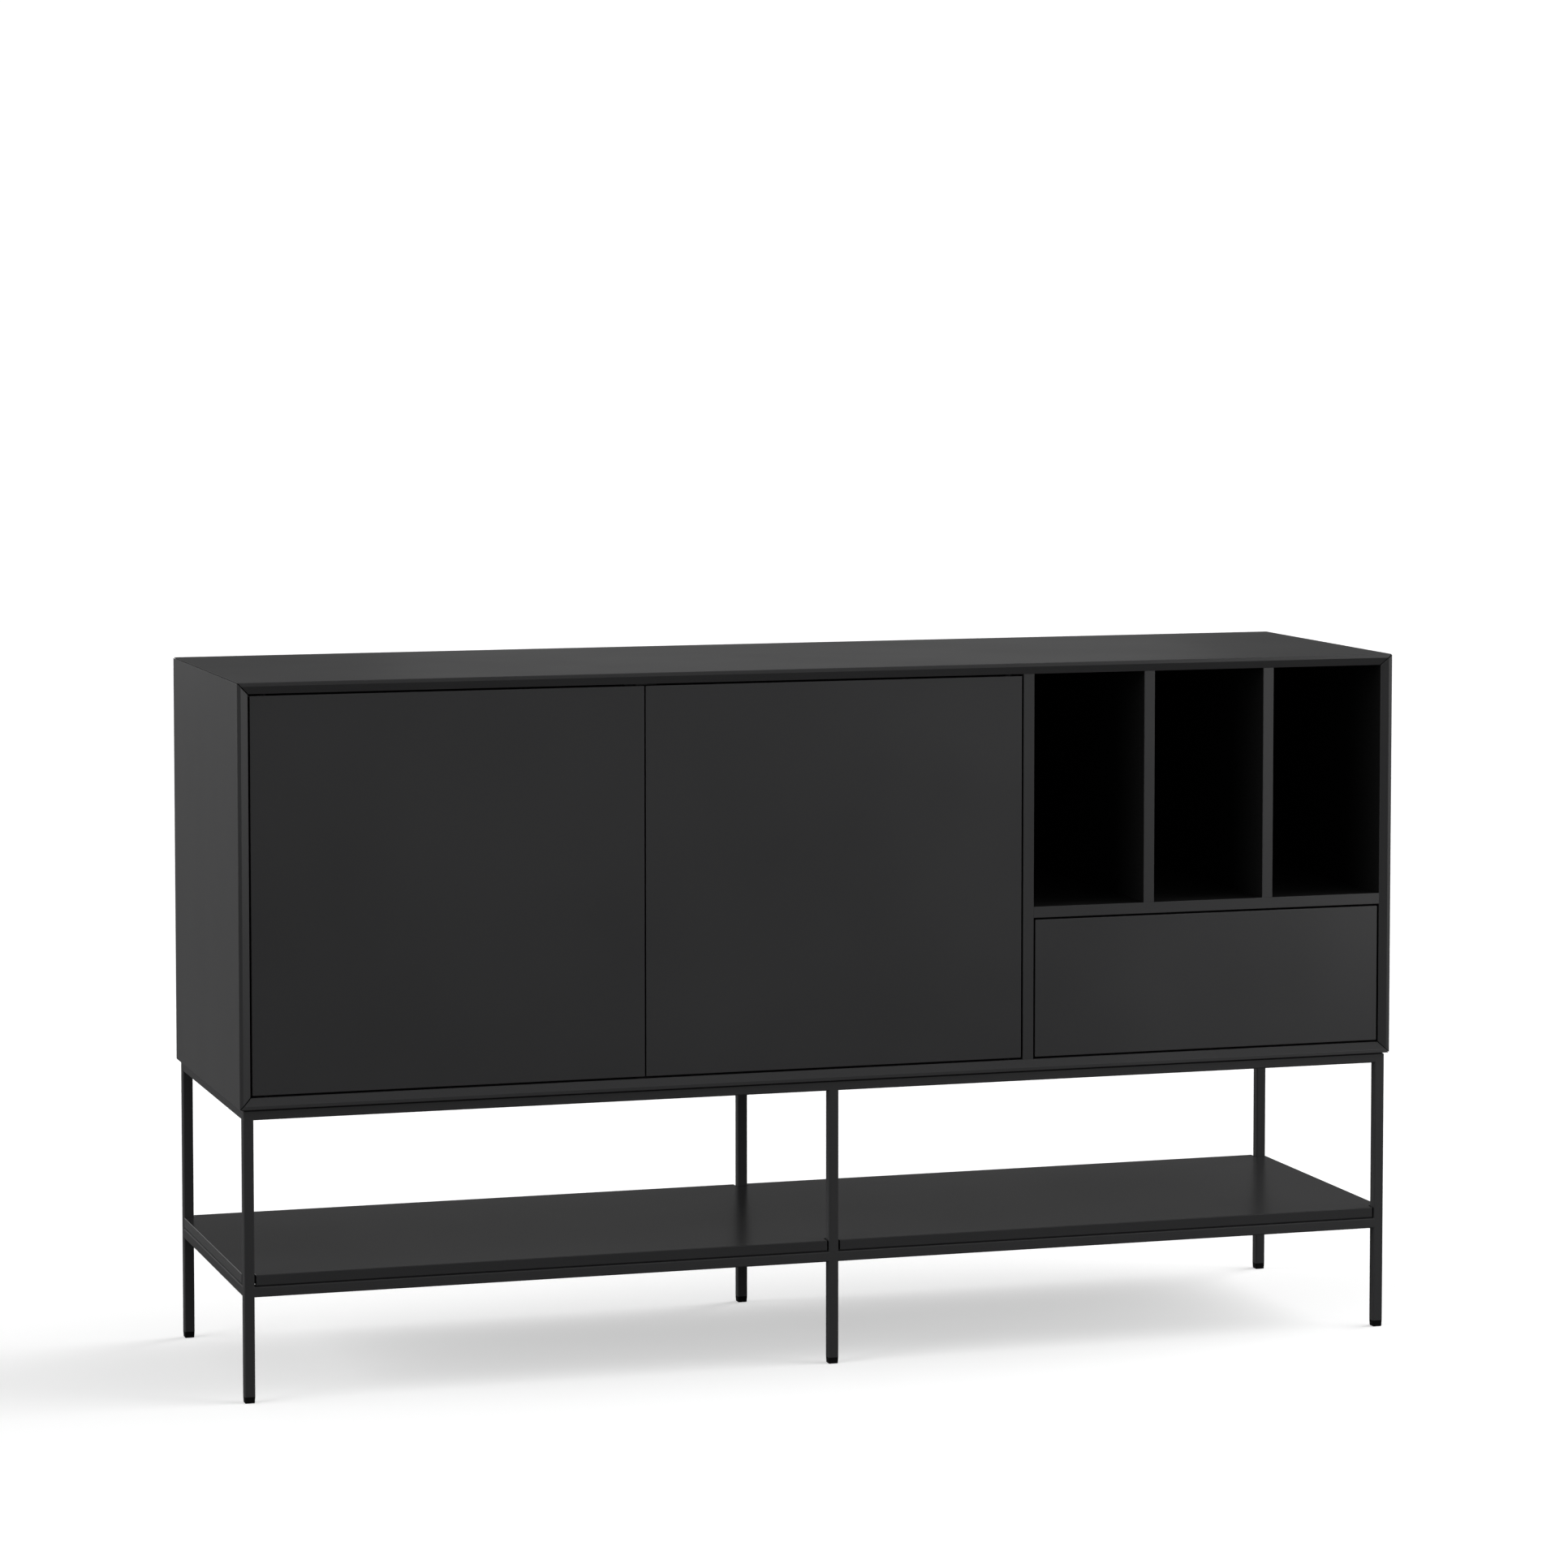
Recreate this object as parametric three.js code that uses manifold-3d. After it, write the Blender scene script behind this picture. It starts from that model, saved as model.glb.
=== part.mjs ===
// Sideboard on a welded tube frame: a mitred carcass with two push-to-open doors, three open
// compartments and one drawer, over a steel frame with a low shelf.
// Millimetres, +Z up, +X to the user's right, -Y towards the user. The origin is on the floor, under
// the middle of the carcass.
import * as THREE from 'three';
import { mergeVertices } from 'three/addons/utils/BufferGeometryUtils.js';
import Module from 'manifold-3d';

const wasm = await Module();
wasm.setup();

// ---------------------------------------------------------------- driving dimensions

// Whole piece
const width = 1600;
const depth = 440;
const height = 930;
const standHeight = 381; // floor to the underside of the carcass

// Carcass boards
const board = 15;
const edgeBand = 5; // flat front edge outside the bevel
const frontSetback = 5; // doors, drawer front and dividers sit this far behind the front edge
const mitreGap = 0.3;
const backThickness = 6;
const backRebate = 8; // width and depth of the rebate that takes the back
const backClearance = 0.5;

// Fronts
const frontThickness = 16;
const frontGap = 2.5; // around each door and the drawer front
const meetingGap = 2; // between the two doors
const doorBayWidth = 1051.5;

// Shelves inside
const drawerShelfTop = 601.5;
const compartmentCount = 3;
const looseShelfTop = 655;
const looseShelfSetback = 35; // clears the part of a door that swings inwards
const looseShelfClearance = 1;

// Door pivots
const pivotInset = 18; // from the hinge edge of the door to the axis
const pinRadius = 2.5;
const pinInDoor = 20;
const pinInCarcass = 8;
const pinRunningClearance = 0.1;
const pinFixedClearance = 0.3;
const collarRadius = 5;
const collarClearance = 0.2;

// Push latches
const latchWidth = 14;
const latchLength = 50;
const latchFromDoor = 6; // latch body to the back of the door
const latchBore = 40;
const plungerRadius = 3;
const plungerHeadRadius = 4.5;
const plungerHeadLength = 2;
const plungerClearance = 0.3;
const drawerLatchLength = 40;

// Drawer
const drawerSide = 12;
const drawerBoxHeight = 130;
const drawerBoxLift = 12; // underside of the box above the underside of the drawer front
const drawerBottom = 5;
const drawerBottomGroove = 6;
const drawerBottomLift = 10;
const grooveClearance = 0.2;
const drawerBackClearance = 4; // back of the box to its latch
const slideSpace = 12.7; // each side of the drawer box

// Telescopic slides
const slideStockStep = 50; // slides are sold in steps of this length
const slideHeight = 45;
const slideSheet = 1.2;
const slideWebGap = 2.4; // between the webs of the outer and middle members
const slideRaceGap = 3.3; // between nested flanges, where the balls run
const slideTipGap = 1.2; // beyond the edge of a flange
const slideFrontClearance = 4;

// Frame
const tube = 14;
const tubeWall = 1.2;
const tubeRadius = 2;
const frameInset = 5; // frame outside to carcass outside
const lowRailTop = 151.5;
const footHeight = 8.5;
const footFlare = 0.8;
const footPlug = 14;
const footPlugClearance = 0.3;
const lowShelf = 15;
const lowShelfNotchGap = 2;

// Cutting and rounding
const arcSteps = 24; // round a full circle
const cornerSteps = 3; // round one corner of a tube
const overrun = 1; // a cutter goes this far past the face it opens

// ---------------------------------------------------------------- positions that follow

const frontY = -depth / 2;
const backY = depth / 2;
const faceY = frontY + frontSetback;
const innerRight = width / 2 - board;
const innerLeft = -innerRight;
const innerTop = height - board;
const innerBottom = standHeight + board;
const innerBack = backY - backRebate;
const doorBayRight = innerLeft + doorBayWidth;
const drawerBayLeft = doorBayRight + board;
const doorWidth = (doorBayWidth - 2 * frontGap - meetingGap) / 2;
const leftDoorX = innerLeft + frontGap;
const rightDoorX = doorBayRight - frontGap - doorWidth;
const doorBottom = innerBottom + frontGap;
const doorTop = innerTop - frontGap;
const doorBackY = faceY + frontThickness;
const pivotY = faceY + frontThickness / 2;
const leftPivotX = leftDoorX + pivotInset;
const rightPivotX = rightDoorX + doorWidth - pivotInset;
const partitionX = (leftDoorX + rightDoorX + doorWidth) / 2;

// ---------------------------------------------------------------- materials

function finish(color, roughness, metalness) {
  return new THREE.MeshStandardMaterial({ color, roughness, metalness });
}

const finishes = {
  lacquer: () => finish(0x38383a, 0.55, 0),
  drawerBoard: () => finish(0x2c2c2e, 0.7, 0),
  backBoard: () => finish(0x262628, 0.75, 0),
  powderCoat: () => finish(0x2b2b2d, 0.6, 0.2),
  zincSteel: () => finish(0xa8abae, 0.35, 0.9),
  darkPlastic: () => finish(0x141415, 0.6, 0),
  greyPlastic: () => finish(0x6b6d70, 0.5, 0),
};

// ---------------------------------------------------------------- geometry helpers

/** Closed triangle geometry to a solid, with its shared corners merged. */
function toSolid(geometry) {
  const bare = new THREE.BufferGeometry();
  bare.setAttribute('position', geometry.getAttribute('position'));
  bare.setIndex(geometry.getIndex());
  const merged = mergeVertices(bare, 1e-4);
  const vertProperties = new Float32Array(merged.getAttribute('position').array);
  const triVerts = new Uint32Array(merged.getIndex().array);
  return new wasm.Manifold(new wasm.Mesh({ numProp: 3, vertProperties, triVerts }));
}

/** Solid back to a triangle geometry. */
function toGeometry(solid) {
  const mesh = solid.getMesh();
  const geometry = new THREE.BufferGeometry();
  const positions = new Float32Array(mesh.vertProperties);
  geometry.setAttribute('position', new THREE.BufferAttribute(positions, 3));
  geometry.setIndex(new THREE.BufferAttribute(new Uint32Array(mesh.triVerts), 1));
  return geometry;
}

/** Geometry with every tool geometry cut out of it. */
function cut(geometry, tools) {
  return toGeometry(tools.reduce((solid, tool) => solid.subtract(toSolid(tool)), toSolid(geometry)));
}

/** Box geometry from its limits along each axis. */
function block([x0, x1], [y0, y1], [z0, z1]) {
  const geometry = new THREE.BoxGeometry(x1 - x0, y1 - y0, z1 - z0);
  return geometry.translate((x0 + x1) / 2, (y0 + y1) / 2, (z0 + z1) / 2);
}

/** Closed outline, with optional hole outlines, carried from 0 to length along +Z. */
function prism(outline, length, holes = []) {
  const shape = new THREE.Shape(outline.map(([x, y]) => new THREE.Vector2(x, y)));
  for (const hole of holes) {
    shape.holes.push(new THREE.Path(hole.map(([x, y]) => new THREE.Vector2(x, y))));
  }
  return new THREE.ExtrudeGeometry(shape, { depth: length, bevelEnabled: false, steps: 1 });
}

/** Turn a prism so that its length runs along +X, its outline's x along +Y and its y along +Z. */
function alongX(geometry) {
  const turn = new THREE.Matrix4().set(0, 0, 1, 0, 1, 0, 0, 0, 0, 1, 0, 0, 0, 0, 0, 1);
  return geometry.applyMatrix4(turn);
}

/** Turn a prism so that its length runs along +Y, its outline's x along -X and its y along +Z. */
function alongY(geometry) {
  const turn = new THREE.Matrix4().set(-1, 0, 0, 0, 0, 0, 1, 0, 0, 1, 0, 0, 0, 0, 0, 1);
  return geometry.applyMatrix4(turn);
}

/** Upright cylinder between two heights. */
function rod(x, y, [z0, z1], radius) {
  const geometry = new THREE.CylinderGeometry(radius, radius, z1 - z0, arcSteps);
  return geometry.rotateX(Math.PI / 2).translate(x, y, (z0 + z1) / 2);
}

/** Square outline with its four corners rounded by a quarter circle. */
function roundedSquare(side, radius) {
  const points = [];
  for (let corner = 0; corner < 4; corner += 1) {
    const start = (corner * Math.PI) / 2;
    const centre = start + Math.PI / 4;
    const reach = (side / 2 - radius) * Math.SQRT2;
    for (let step = 0; step <= cornerSteps; step += 1) {
      const angle = start + (step * Math.PI) / 2 / cornerSteps;
      const x = reach * Math.cos(centre) + radius * Math.cos(angle);
      const y = reach * Math.sin(centre) + radius * Math.sin(angle);
      points.push([x, y]);
    }
  }
  return points;
}

/** Square outline about the origin. */
function square(side) {
  const h = side / 2;
  return [[-h, -h], [h, -h], [h, h], [-h, h]];
}

/** Stack of square sections, each [height, side], closed at both ends. */
function squareStack(sections) {
  const points = sections.map(([z, side]) => new THREE.Vector2(side * Math.SQRT1_2, z));
  const axis = [new THREE.Vector2(0, sections[0][0])];
  const end = [new THREE.Vector2(0, sections[sections.length - 1][0])];
  const geometry = new THREE.LatheGeometry([...axis, ...points, ...end], 4, Math.PI / 4);
  return geometry.rotateX(Math.PI / 2);
}

// ---------------------------------------------------------------- assembly

const sideboard = new THREE.Group();

/** Name a geometry, give it its finish and add it to the sideboard. */
function add(name, geometry, finishName, position = [0, 0, 0], rotation = [0, 0, 0]) {
  const mesh = new THREE.Mesh(geometry, finishes[finishName]());
  mesh.name = name;
  mesh.position.set(...position);
  mesh.rotation.set(...rotation);
  sideboard.add(mesh);
}

// ---- carcass: four mitred panels, each with a bevelled front edge and a rebate for the back

/** Mitred panel, its outside face up at z = 0 and its length along X. */
function carcassPanel(length) {
  const profile = [
    [frontY, 0],
    [frontY, -edgeBand],
    [faceY, -board],
    [innerBack, -board],
    [innerBack, -board + backRebate],
    [backY, -board + backRebate],
    [backY, 0],
  ];
  const blank = alongX(prism(profile, length)).translate(-length / 2, 0, 0);
  const outer = length / 2 - mitreGap * Math.SQRT1_2;
  const inner = outer - board;
  const mitres = prism([[-outer, 0], [-inner, -board], [inner, -board], [outer, 0]], depth);
  const upright = mitres.rotateX(Math.PI / 2).translate(0, backY, 0);
  return toGeometry(toSolid(blank).intersect(toSolid(upright)));
}

/** Panel with a blind pivot hole in its inside face at each x. */
function pivotPanel(xs) {
  const span = [-board - overrun, -board + pinInCarcass + collarClearance];
  const radius = pinRadius + pinRunningClearance;
  return cut(carcassPanel(width), xs.map((x) => rod(x, pivotY, span, radius)));
}

const sideHeight = height - standHeight;
const sideMiddle = (height + standHeight) / 2;
const bottomHoles = [-leftPivotX, -rightPivotX]; // this panel is turned upside down
add('top_panel', pivotPanel([leftPivotX, rightPivotX]), 'lacquer', [0, 0, height]);
add('bottom_panel', pivotPanel(bottomHoles), 'lacquer', [0, 0, standHeight], [0, Math.PI, 0]);
for (const [side, turn] of [
  ['left', -1],
  ['right', 1],
]) {
  const place = [(turn * width) / 2, 0, sideMiddle];
  add(`${side}_side_panel`, carcassPanel(sideHeight), 'lacquer', place, [0, (turn * Math.PI) / 2, 0]);
}

const backReach = backRebate - backClearance;
const backSpanX = [innerLeft - backReach, innerRight + backReach];
const backSpanZ = [innerBottom - backReach, innerTop + backReach];
add('back_panel', block(backSpanX, [innerBack, innerBack + backThickness], backSpanZ), 'backBoard');

// ---- uprights and shelves inside the carcass

const insideY = [faceY, innerBack];
const insideZ = [innerBottom, innerTop];
const partitionSpan = [partitionX - board / 2, partitionX + board / 2];
const partitionFront = doorBackY + meetingGap;
add('main_divider', block([doorBayRight, drawerBayLeft], insideY, insideZ), 'lacquer');
add('centre_partition', block(partitionSpan, [partitionFront, innerBack], insideZ), 'lacquer');
const drawerShelfZ = [drawerShelfTop - board, drawerShelfTop];
add('drawer_shelf', block([drawerBayLeft, innerRight], insideY, drawerShelfZ), 'lacquer');

const bayWidth = innerRight - drawerBayLeft;
const compartment = (bayWidth - (compartmentCount - 1) * board) / compartmentCount;
for (let index = 1; index < compartmentCount; index += 1) {
  const left = drawerBayLeft + index * compartment + (index - 1) * board;
  const divider = block([left, left + board], insideY, [drawerShelfTop, innerTop]);
  add(`compartment_divider_${index}`, divider, 'lacquer');
}

const looseShelfY = [faceY + looseShelfSetback, innerBack - looseShelfClearance];
const looseShelfZ = [looseShelfTop - board, looseShelfTop];
for (const [side, x0, x1] of [
  ['left', innerLeft, partitionSpan[0]],
  ['right', partitionSpan[1], doorBayRight],
]) {
  const span = [x0 + looseShelfClearance, x1 - looseShelfClearance];
  add(`${side}_adjustable_shelf`, block(span, looseShelfY, looseShelfZ), 'lacquer');
}

// ---- doors, each on a pin at its top and bottom edge near the hinge side

/** Pivot pin with the collar that fills the gap between door and carcass; the door's end is up. */
function pivotPin() {
  const profile = [
    [0, -pinInCarcass],
    [pinRadius, -pinInCarcass],
    [pinRadius, collarClearance],
    [collarRadius, collarClearance],
    [collarRadius, frontGap],
    [pinRadius, frontGap],
    [pinRadius, frontGap + pinInDoor],
    [0, frontGap + pinInDoor],
  ];
  const points = profile.map(([r, z]) => new THREE.Vector2(r, z));
  return new THREE.LatheGeometry(points, arcSteps).rotateX(Math.PI / 2);
}

/** Door panel with a blind hole for each pin. */
function doorPanel(x0, pivotX) {
  const slab = block([x0, x0 + doorWidth], [faceY, doorBackY], [doorBottom, doorTop]);
  const drilled = pinInDoor + pinFixedClearance;
  const radius = pinRadius + pinFixedClearance;
  return cut(slab, [
    rod(pivotX, pivotY, [doorBottom - overrun, doorBottom + drilled], radius),
    rod(pivotX, pivotY, [doorTop - drilled, doorTop + overrun], radius),
  ]);
}

for (const [side, x0, pivotX] of [
  ['left', leftDoorX, leftPivotX],
  ['right', rightDoorX, rightPivotX],
]) {
  add(`${side}_door`, doorPanel(x0, pivotX), 'lacquer');
  add(`${side}_door_lower_pivot`, pivotPin(), 'zincSteel', [pivotX, pivotY, innerBottom]);
  add(`${side}_door_upper_pivot`, pivotPin(), 'zincSteel', [pivotX, pivotY, innerTop], [Math.PI, 0, 0]);
}

// ---- push latches: a body with a blind bore and a plunger that pushes the front open

/** Latch body whose bore opens towards -Y at y = 0. */
function latchBody(length, bore) {
  const half = latchWidth / 2;
  const body = block([-half, half], [0, length], [-half, half]);
  const drill = rod(0, 0, [-overrun, bore], plungerRadius + plungerClearance).rotateX(-Math.PI / 2);
  return cut(body, [drill]);
}

/** Plunger with its flat head towards -Y, as far out of the bore as reach says. */
function latchPlunger(reach, bore) {
  const tip = -reach + plungerClearance;
  const tail = bore - plungerHeadLength;
  const profile = [
    [0, tip],
    [plungerHeadRadius, tip],
    [plungerHeadRadius, tip + plungerHeadLength],
    [plungerRadius, tip + plungerHeadLength],
    [plungerRadius, tail],
    [0, tail],
  ];
  return new THREE.LatheGeometry(profile.map(([r, y]) => new THREE.Vector2(r, y)), arcSteps);
}

const latchZ = innerTop - latchWidth / 2;
const latchY = doorBackY + latchFromDoor;
for (const [side, x] of [
  ['left', partitionSpan[0] - latchWidth / 2],
  ['right', partitionSpan[1] + latchWidth / 2],
]) {
  add(`${side}_door_latch`, latchBody(latchLength, latchBore), 'greyPlastic', [x, latchY, latchZ]);
  const plunger = latchPlunger(latchFromDoor, latchBore);
  add(`${side}_door_latch_plunger`, plunger, 'darkPlastic', [x, latchY, latchZ]);
}

// ---- drawer

const drawerFrontX = [drawerBayLeft + frontGap, innerRight - frontGap];
const drawerFrontZ = [doorBottom, drawerShelfTop - board - frontGap];
const boxX = [drawerBayLeft + slideSpace, innerRight - slideSpace];
const boxBottom = drawerFrontZ[0] + drawerBoxLift;
const boxTop = boxBottom + drawerBoxHeight;
const drawerLatchY = innerBack - drawerLatchLength;
const boxBackY = drawerLatchY - drawerBackClearance;
const boxY = [doorBackY, boxBackY];
const boxZ = [boxBottom, boxTop];
const grooveZ = [boxBottom + drawerBottomLift, boxBottom + drawerBottomLift + drawerBottom];
const grooveReach = drawerBottomGroove - grooveClearance;
const insideBoxX = [boxX[0] + drawerSide, boxX[1] - drawerSide];

/** Limits widened by a clearance at both ends. */
function widened([low, high], by) {
  return [low - by, high + by];
}

/** Drawer side with a groove for the bottom along its inside face. */
function drawerSidePanel([x0, x1], grooveX) {
  const groove = block(grooveX, widened(boxY, overrun), widened(grooveZ, grooveClearance));
  return cut(block([x0, x1], boxY, boxZ), [groove]);
}

const leftSideX = [boxX[0], insideBoxX[0]];
const rightSideX = [insideBoxX[1], boxX[1]];
const leftGrooveX = [insideBoxX[0] - drawerBottomGroove, insideBoxX[0] + overrun];
const rightGrooveX = [insideBoxX[1] - overrun, insideBoxX[1] + drawerBottomGroove];
const bottomTop = grooveZ[1] + grooveClearance;
add('drawer_front', block(drawerFrontX, [faceY, doorBackY], drawerFrontZ), 'lacquer');
add('drawer_left_side', drawerSidePanel(leftSideX, leftGrooveX), 'drawerBoard');
add('drawer_right_side', drawerSidePanel(rightSideX, rightGrooveX), 'drawerBoard');
const drawerBackY = [boxBackY - drawerSide, boxBackY];
add('drawer_back', block(insideBoxX, drawerBackY, [bottomTop, boxTop]), 'drawerBoard');
add('drawer_bottom', block(widened(insideBoxX, grooveReach), boxY, grooveZ), 'drawerBoard');

const drawerLatchX = (boxX[0] + boxX[1]) / 2;
const drawerLatchZ = (boxBottom + boxTop) / 2;
const drawerLatchAt = [drawerLatchX, drawerLatchY, drawerLatchZ];
const drawerLatchBore = drawerLatchLength - latchWidth / 2;
const drawerPlunger = latchPlunger(drawerBackClearance, drawerLatchBore);
add('drawer_latch', latchBody(drawerLatchLength, drawerLatchBore), 'greyPlastic', drawerLatchAt);
add('drawer_latch_plunger', drawerPlunger, 'darkPlastic', drawerLatchAt);

// ---- telescopic slides: three nested channels on each side of the drawer box

/** Channel outline: a web from x = web, its flanges reaching to x = tip at the given height. */
function channelOutline(web, tip, channelHeight) {
  const turn = Math.sign(tip - web);
  const h = channelHeight / 2;
  const inside = web + turn * slideSheet;
  return [
    [web, -h],
    [tip, -h],
    [tip, -h + slideSheet],
    [inside, -h + slideSheet],
    [inside, h - slideSheet],
    [tip, h - slideSheet],
    [tip, h],
    [web, h],
  ];
}

// Each member's web and flange tips, measured from the carcass towards the drawer, and its height.
// The outer member is screwed to the carcass and the inner one to the drawer.
const middleWeb = slideSheet + slideWebGap;
const nestedStep = 2 * (slideSheet + slideRaceGap);
const slideMembers = [
  { name: 'outer', web: 0, tip: slideSpace - slideSheet - 2 * slideTipGap, tall: slideHeight },
  { name: 'middle', web: middleWeb, tip: slideSpace - slideTipGap, tall: slideHeight - nestedStep },
  {
    name: 'inner',
    web: slideSpace,
    tip: middleWeb + slideSheet + slideTipGap,
    tall: slideHeight - 2 * nestedStep,
  },
];
const slideRoom = boxBackY - doorBackY - slideFrontClearance;
const slideLength = slideStockStep * Math.floor(slideRoom / slideStockStep);
const slideY = doorBackY + slideFrontClearance;
const slideZ = (boxBottom + boxTop) / 2;
for (const [side, wall, turn] of [
  ['left', drawerBayLeft, 1],
  ['right', innerRight, -1],
]) {
  for (const member of slideMembers) {
    const outline = channelOutline(-turn * member.web, -turn * member.tip, member.tall);
    const channel = alongY(prism(outline, slideLength));
    add(`${side}_slide_${member.name}_member`, channel, 'zincSteel', [wall, slideY, slideZ]);
  }
}

// ---------------------------------------------------------------- frame

const frameX = width / 2 - frameInset;
const frameFront = frontY + frameInset;
const frameBack = backY - frameInset;
const highRailZ = standHeight - tube / 2;
const lowRailZ = lowRailTop - tube / 2;
const cornerLegX = frameX - tube / 2;
const legYs = { front: frameFront + tube / 2, back: frameBack - tube / 2 };

/** Square tube with rounded corners, its bore right through, from 0 to length along +Z. */
function tubeLength(length) {
  return prism(roundedSquare(tube, tubeRadius), length, [square(tube - 2 * tubeWall).reverse()]);
}

/** Tube between two x limits at the given centre line. */
function tubeAlongX(name, [x0, x1], y, z) {
  add(name, alongX(tubeLength(x1 - x0)), 'powderCoat', [x0, y, z]);
}

/** Tube between the frame's front and back members at the given centre line. */
function tubeAcross(name, x, z) {
  const span = [frameFront + tube, frameBack - tube];
  add(name, alongY(tubeLength(span[1] - span[0])), 'powderCoat', [x, span[0], z]);
}

const footPlugSide = tube - 2 * (tubeWall + footPlugClearance);
const footSections = [
  [0, tube - 2 * footFlare],
  [footHeight, tube],
  [footHeight, footPlugSide],
  [footHeight + footPlug, footPlugSide],
];
for (const [row, y] of Object.entries(legYs)) {
  for (const [place, x, top] of [
    ['left', -cornerLegX, standHeight],
    ['middle', 0, standHeight - tube],
    ['right', cornerLegX, standHeight],
  ]) {
    add(`${row}_${place}_leg`, tubeLength(top - footHeight), 'powderCoat', [x, y, footHeight]);
    add(`${row}_${place}_foot`, squareStack(footSections), 'darkPlastic', [x, y, 0]);
  }
  const railEnd = frameX - tube;
  tubeAlongX(`${row}_high_rail`, [-railEnd, railEnd], y, highRailZ);
  tubeAlongX(`${row}_left_low_rail`, [-railEnd, -tube / 2], y, lowRailZ);
  tubeAlongX(`${row}_right_low_rail`, [tube / 2, railEnd], y, lowRailZ);
}
for (const [place, x] of [
  ['left', -cornerLegX],
  ['middle', 0],
  ['right', cornerLegX],
]) {
  tubeAcross(`${place}_high_cross_rail`, x, highRailZ);
  tubeAcross(`${place}_low_cross_rail`, x, lowRailZ);
}

// ---- low shelf, notched round the six legs and resting on the low rails

/** Low shelf outline: the front right quarter, turned over to the back and then to the left. */
function lowShelfOutline() {
  const corner = tube + lowShelfNotchGap;
  const middle = tube / 2 + lowShelfNotchGap;
  const frontRight = [
    [middle, frameFront + corner],
    [middle, frameFront],
    [frameX - corner, frameFront],
    [frameX - corner, frameFront + corner],
    [frameX, frameFront + corner],
  ];
  const backRight = frontRight.map(([x, y]) => [x, -y]).reverse();
  const right = [...frontRight, ...backRight];
  const left = right.map(([x, y]) => [-x, y]).reverse();
  return [...right, ...left];
}

add('low_shelf', prism(lowShelfOutline(), lowShelf), 'lacquer', [0, 0, lowRailTop]);

export default sideboard;
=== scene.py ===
"""Looks of a black sideboard on a welded tube stand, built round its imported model.

Metres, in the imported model's own frame: +X to the user's right, +Z up, the user on the -Y side.
Each visible board, tube and fitting is made again with eased edges, as a surface worked out with
numpy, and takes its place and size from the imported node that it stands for.
"""

import logging
import math
from dataclasses import dataclass
from enum import Enum
from functools import lru_cache
from typing import Protocol

import bpy
import numpy as np
from mathutils import Euler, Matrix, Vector
from numpy.typing import NDArray


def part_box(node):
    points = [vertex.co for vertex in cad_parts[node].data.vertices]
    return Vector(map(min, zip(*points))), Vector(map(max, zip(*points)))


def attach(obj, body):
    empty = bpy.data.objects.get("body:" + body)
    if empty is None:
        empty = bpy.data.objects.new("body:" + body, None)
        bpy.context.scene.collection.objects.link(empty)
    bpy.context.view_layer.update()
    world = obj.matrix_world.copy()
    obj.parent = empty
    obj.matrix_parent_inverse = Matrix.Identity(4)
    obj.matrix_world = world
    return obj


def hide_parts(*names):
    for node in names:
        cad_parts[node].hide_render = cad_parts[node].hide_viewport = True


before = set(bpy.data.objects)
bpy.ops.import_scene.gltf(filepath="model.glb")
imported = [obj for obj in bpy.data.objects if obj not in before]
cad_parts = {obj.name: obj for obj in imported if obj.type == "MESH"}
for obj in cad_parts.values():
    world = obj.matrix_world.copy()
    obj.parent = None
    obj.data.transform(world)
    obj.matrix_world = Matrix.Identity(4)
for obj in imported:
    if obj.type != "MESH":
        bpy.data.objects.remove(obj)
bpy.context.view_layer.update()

MM = 0.001
ARC_STEPS = 4
SHARP_ANGLE = math.radians(35)
FACE_SLACK = 0.1 * MM  # a face counts as inside a space when it lies at its limit
NOISE_SPAN = (0.3, 0.7)  # nearly all values of a noise lie between these

log = logging.getLogger("sideboard")
Array = NDArray[np.float64]
Settings = dict[str, object]


# ---------------------------------------------------------------- colour and shader nodes


def linear(colour: str) -> tuple[float, float, float, float]:
    """Turns an sRGB colour into linear light.

    Args:
        colour: The colour as #rrggbb.

    Returns:
        Red, green, blue and an alpha of 1.
    """
    values = np.array([int(colour[start:start + 2], 16) for start in (1, 3, 5)]) / 255
    light = np.where(values <= 0.04045, values / 12.92, ((values + 0.055) / 1.055) ** 2.4)
    return (*light.tolist(), 1.0)


def add_node(
    tree: bpy.types.NodeTree,
    kind: str,
    settings: Settings | None = None,
    links: dict[str, bpy.types.NodeSocket] | None = None,
) -> bpy.types.Node:
    """Adds one shader node with its settings and links.

    Args:
        tree: The node tree that it goes in.
        kind: The node's type name.
        settings: Values by input name, or by property name where no input has that name.
        links: The output socket that feeds each named input.

    Returns:
        The new node.
    """
    made = tree.nodes.new(kind)
    for name, value in (settings or {}).items():
        if name in made.inputs:
            made.inputs[name].default_value = value
        else:
            setattr(made, name, value)
    for name, source in (links or {}).items():
        tree.links.new(source, made.inputs[name])
    return made


def blank_material(name: str) -> bpy.types.Material:
    """Starts a material from nothing.

    Args:
        name: The material's name.

    Returns:
        A new material whose node tree is empty.
    """
    material = bpy.data.materials.new(name)
    material.use_nodes = True
    material.node_tree.nodes.clear()
    return material


class Finish(Protocol):
    """What a piece is made of and how its surface was made."""

    slot: str
    word: str

    def material(self) -> bpy.types.Material:
        """Builds the finish as a material."""


@lru_cache(maxsize=None)
def made_of(finish: Finish) -> bpy.types.Material:
    """The one material that stands for a finish."""
    return finish.material()


# ---------------------------------------------------------------- finishes


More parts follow.
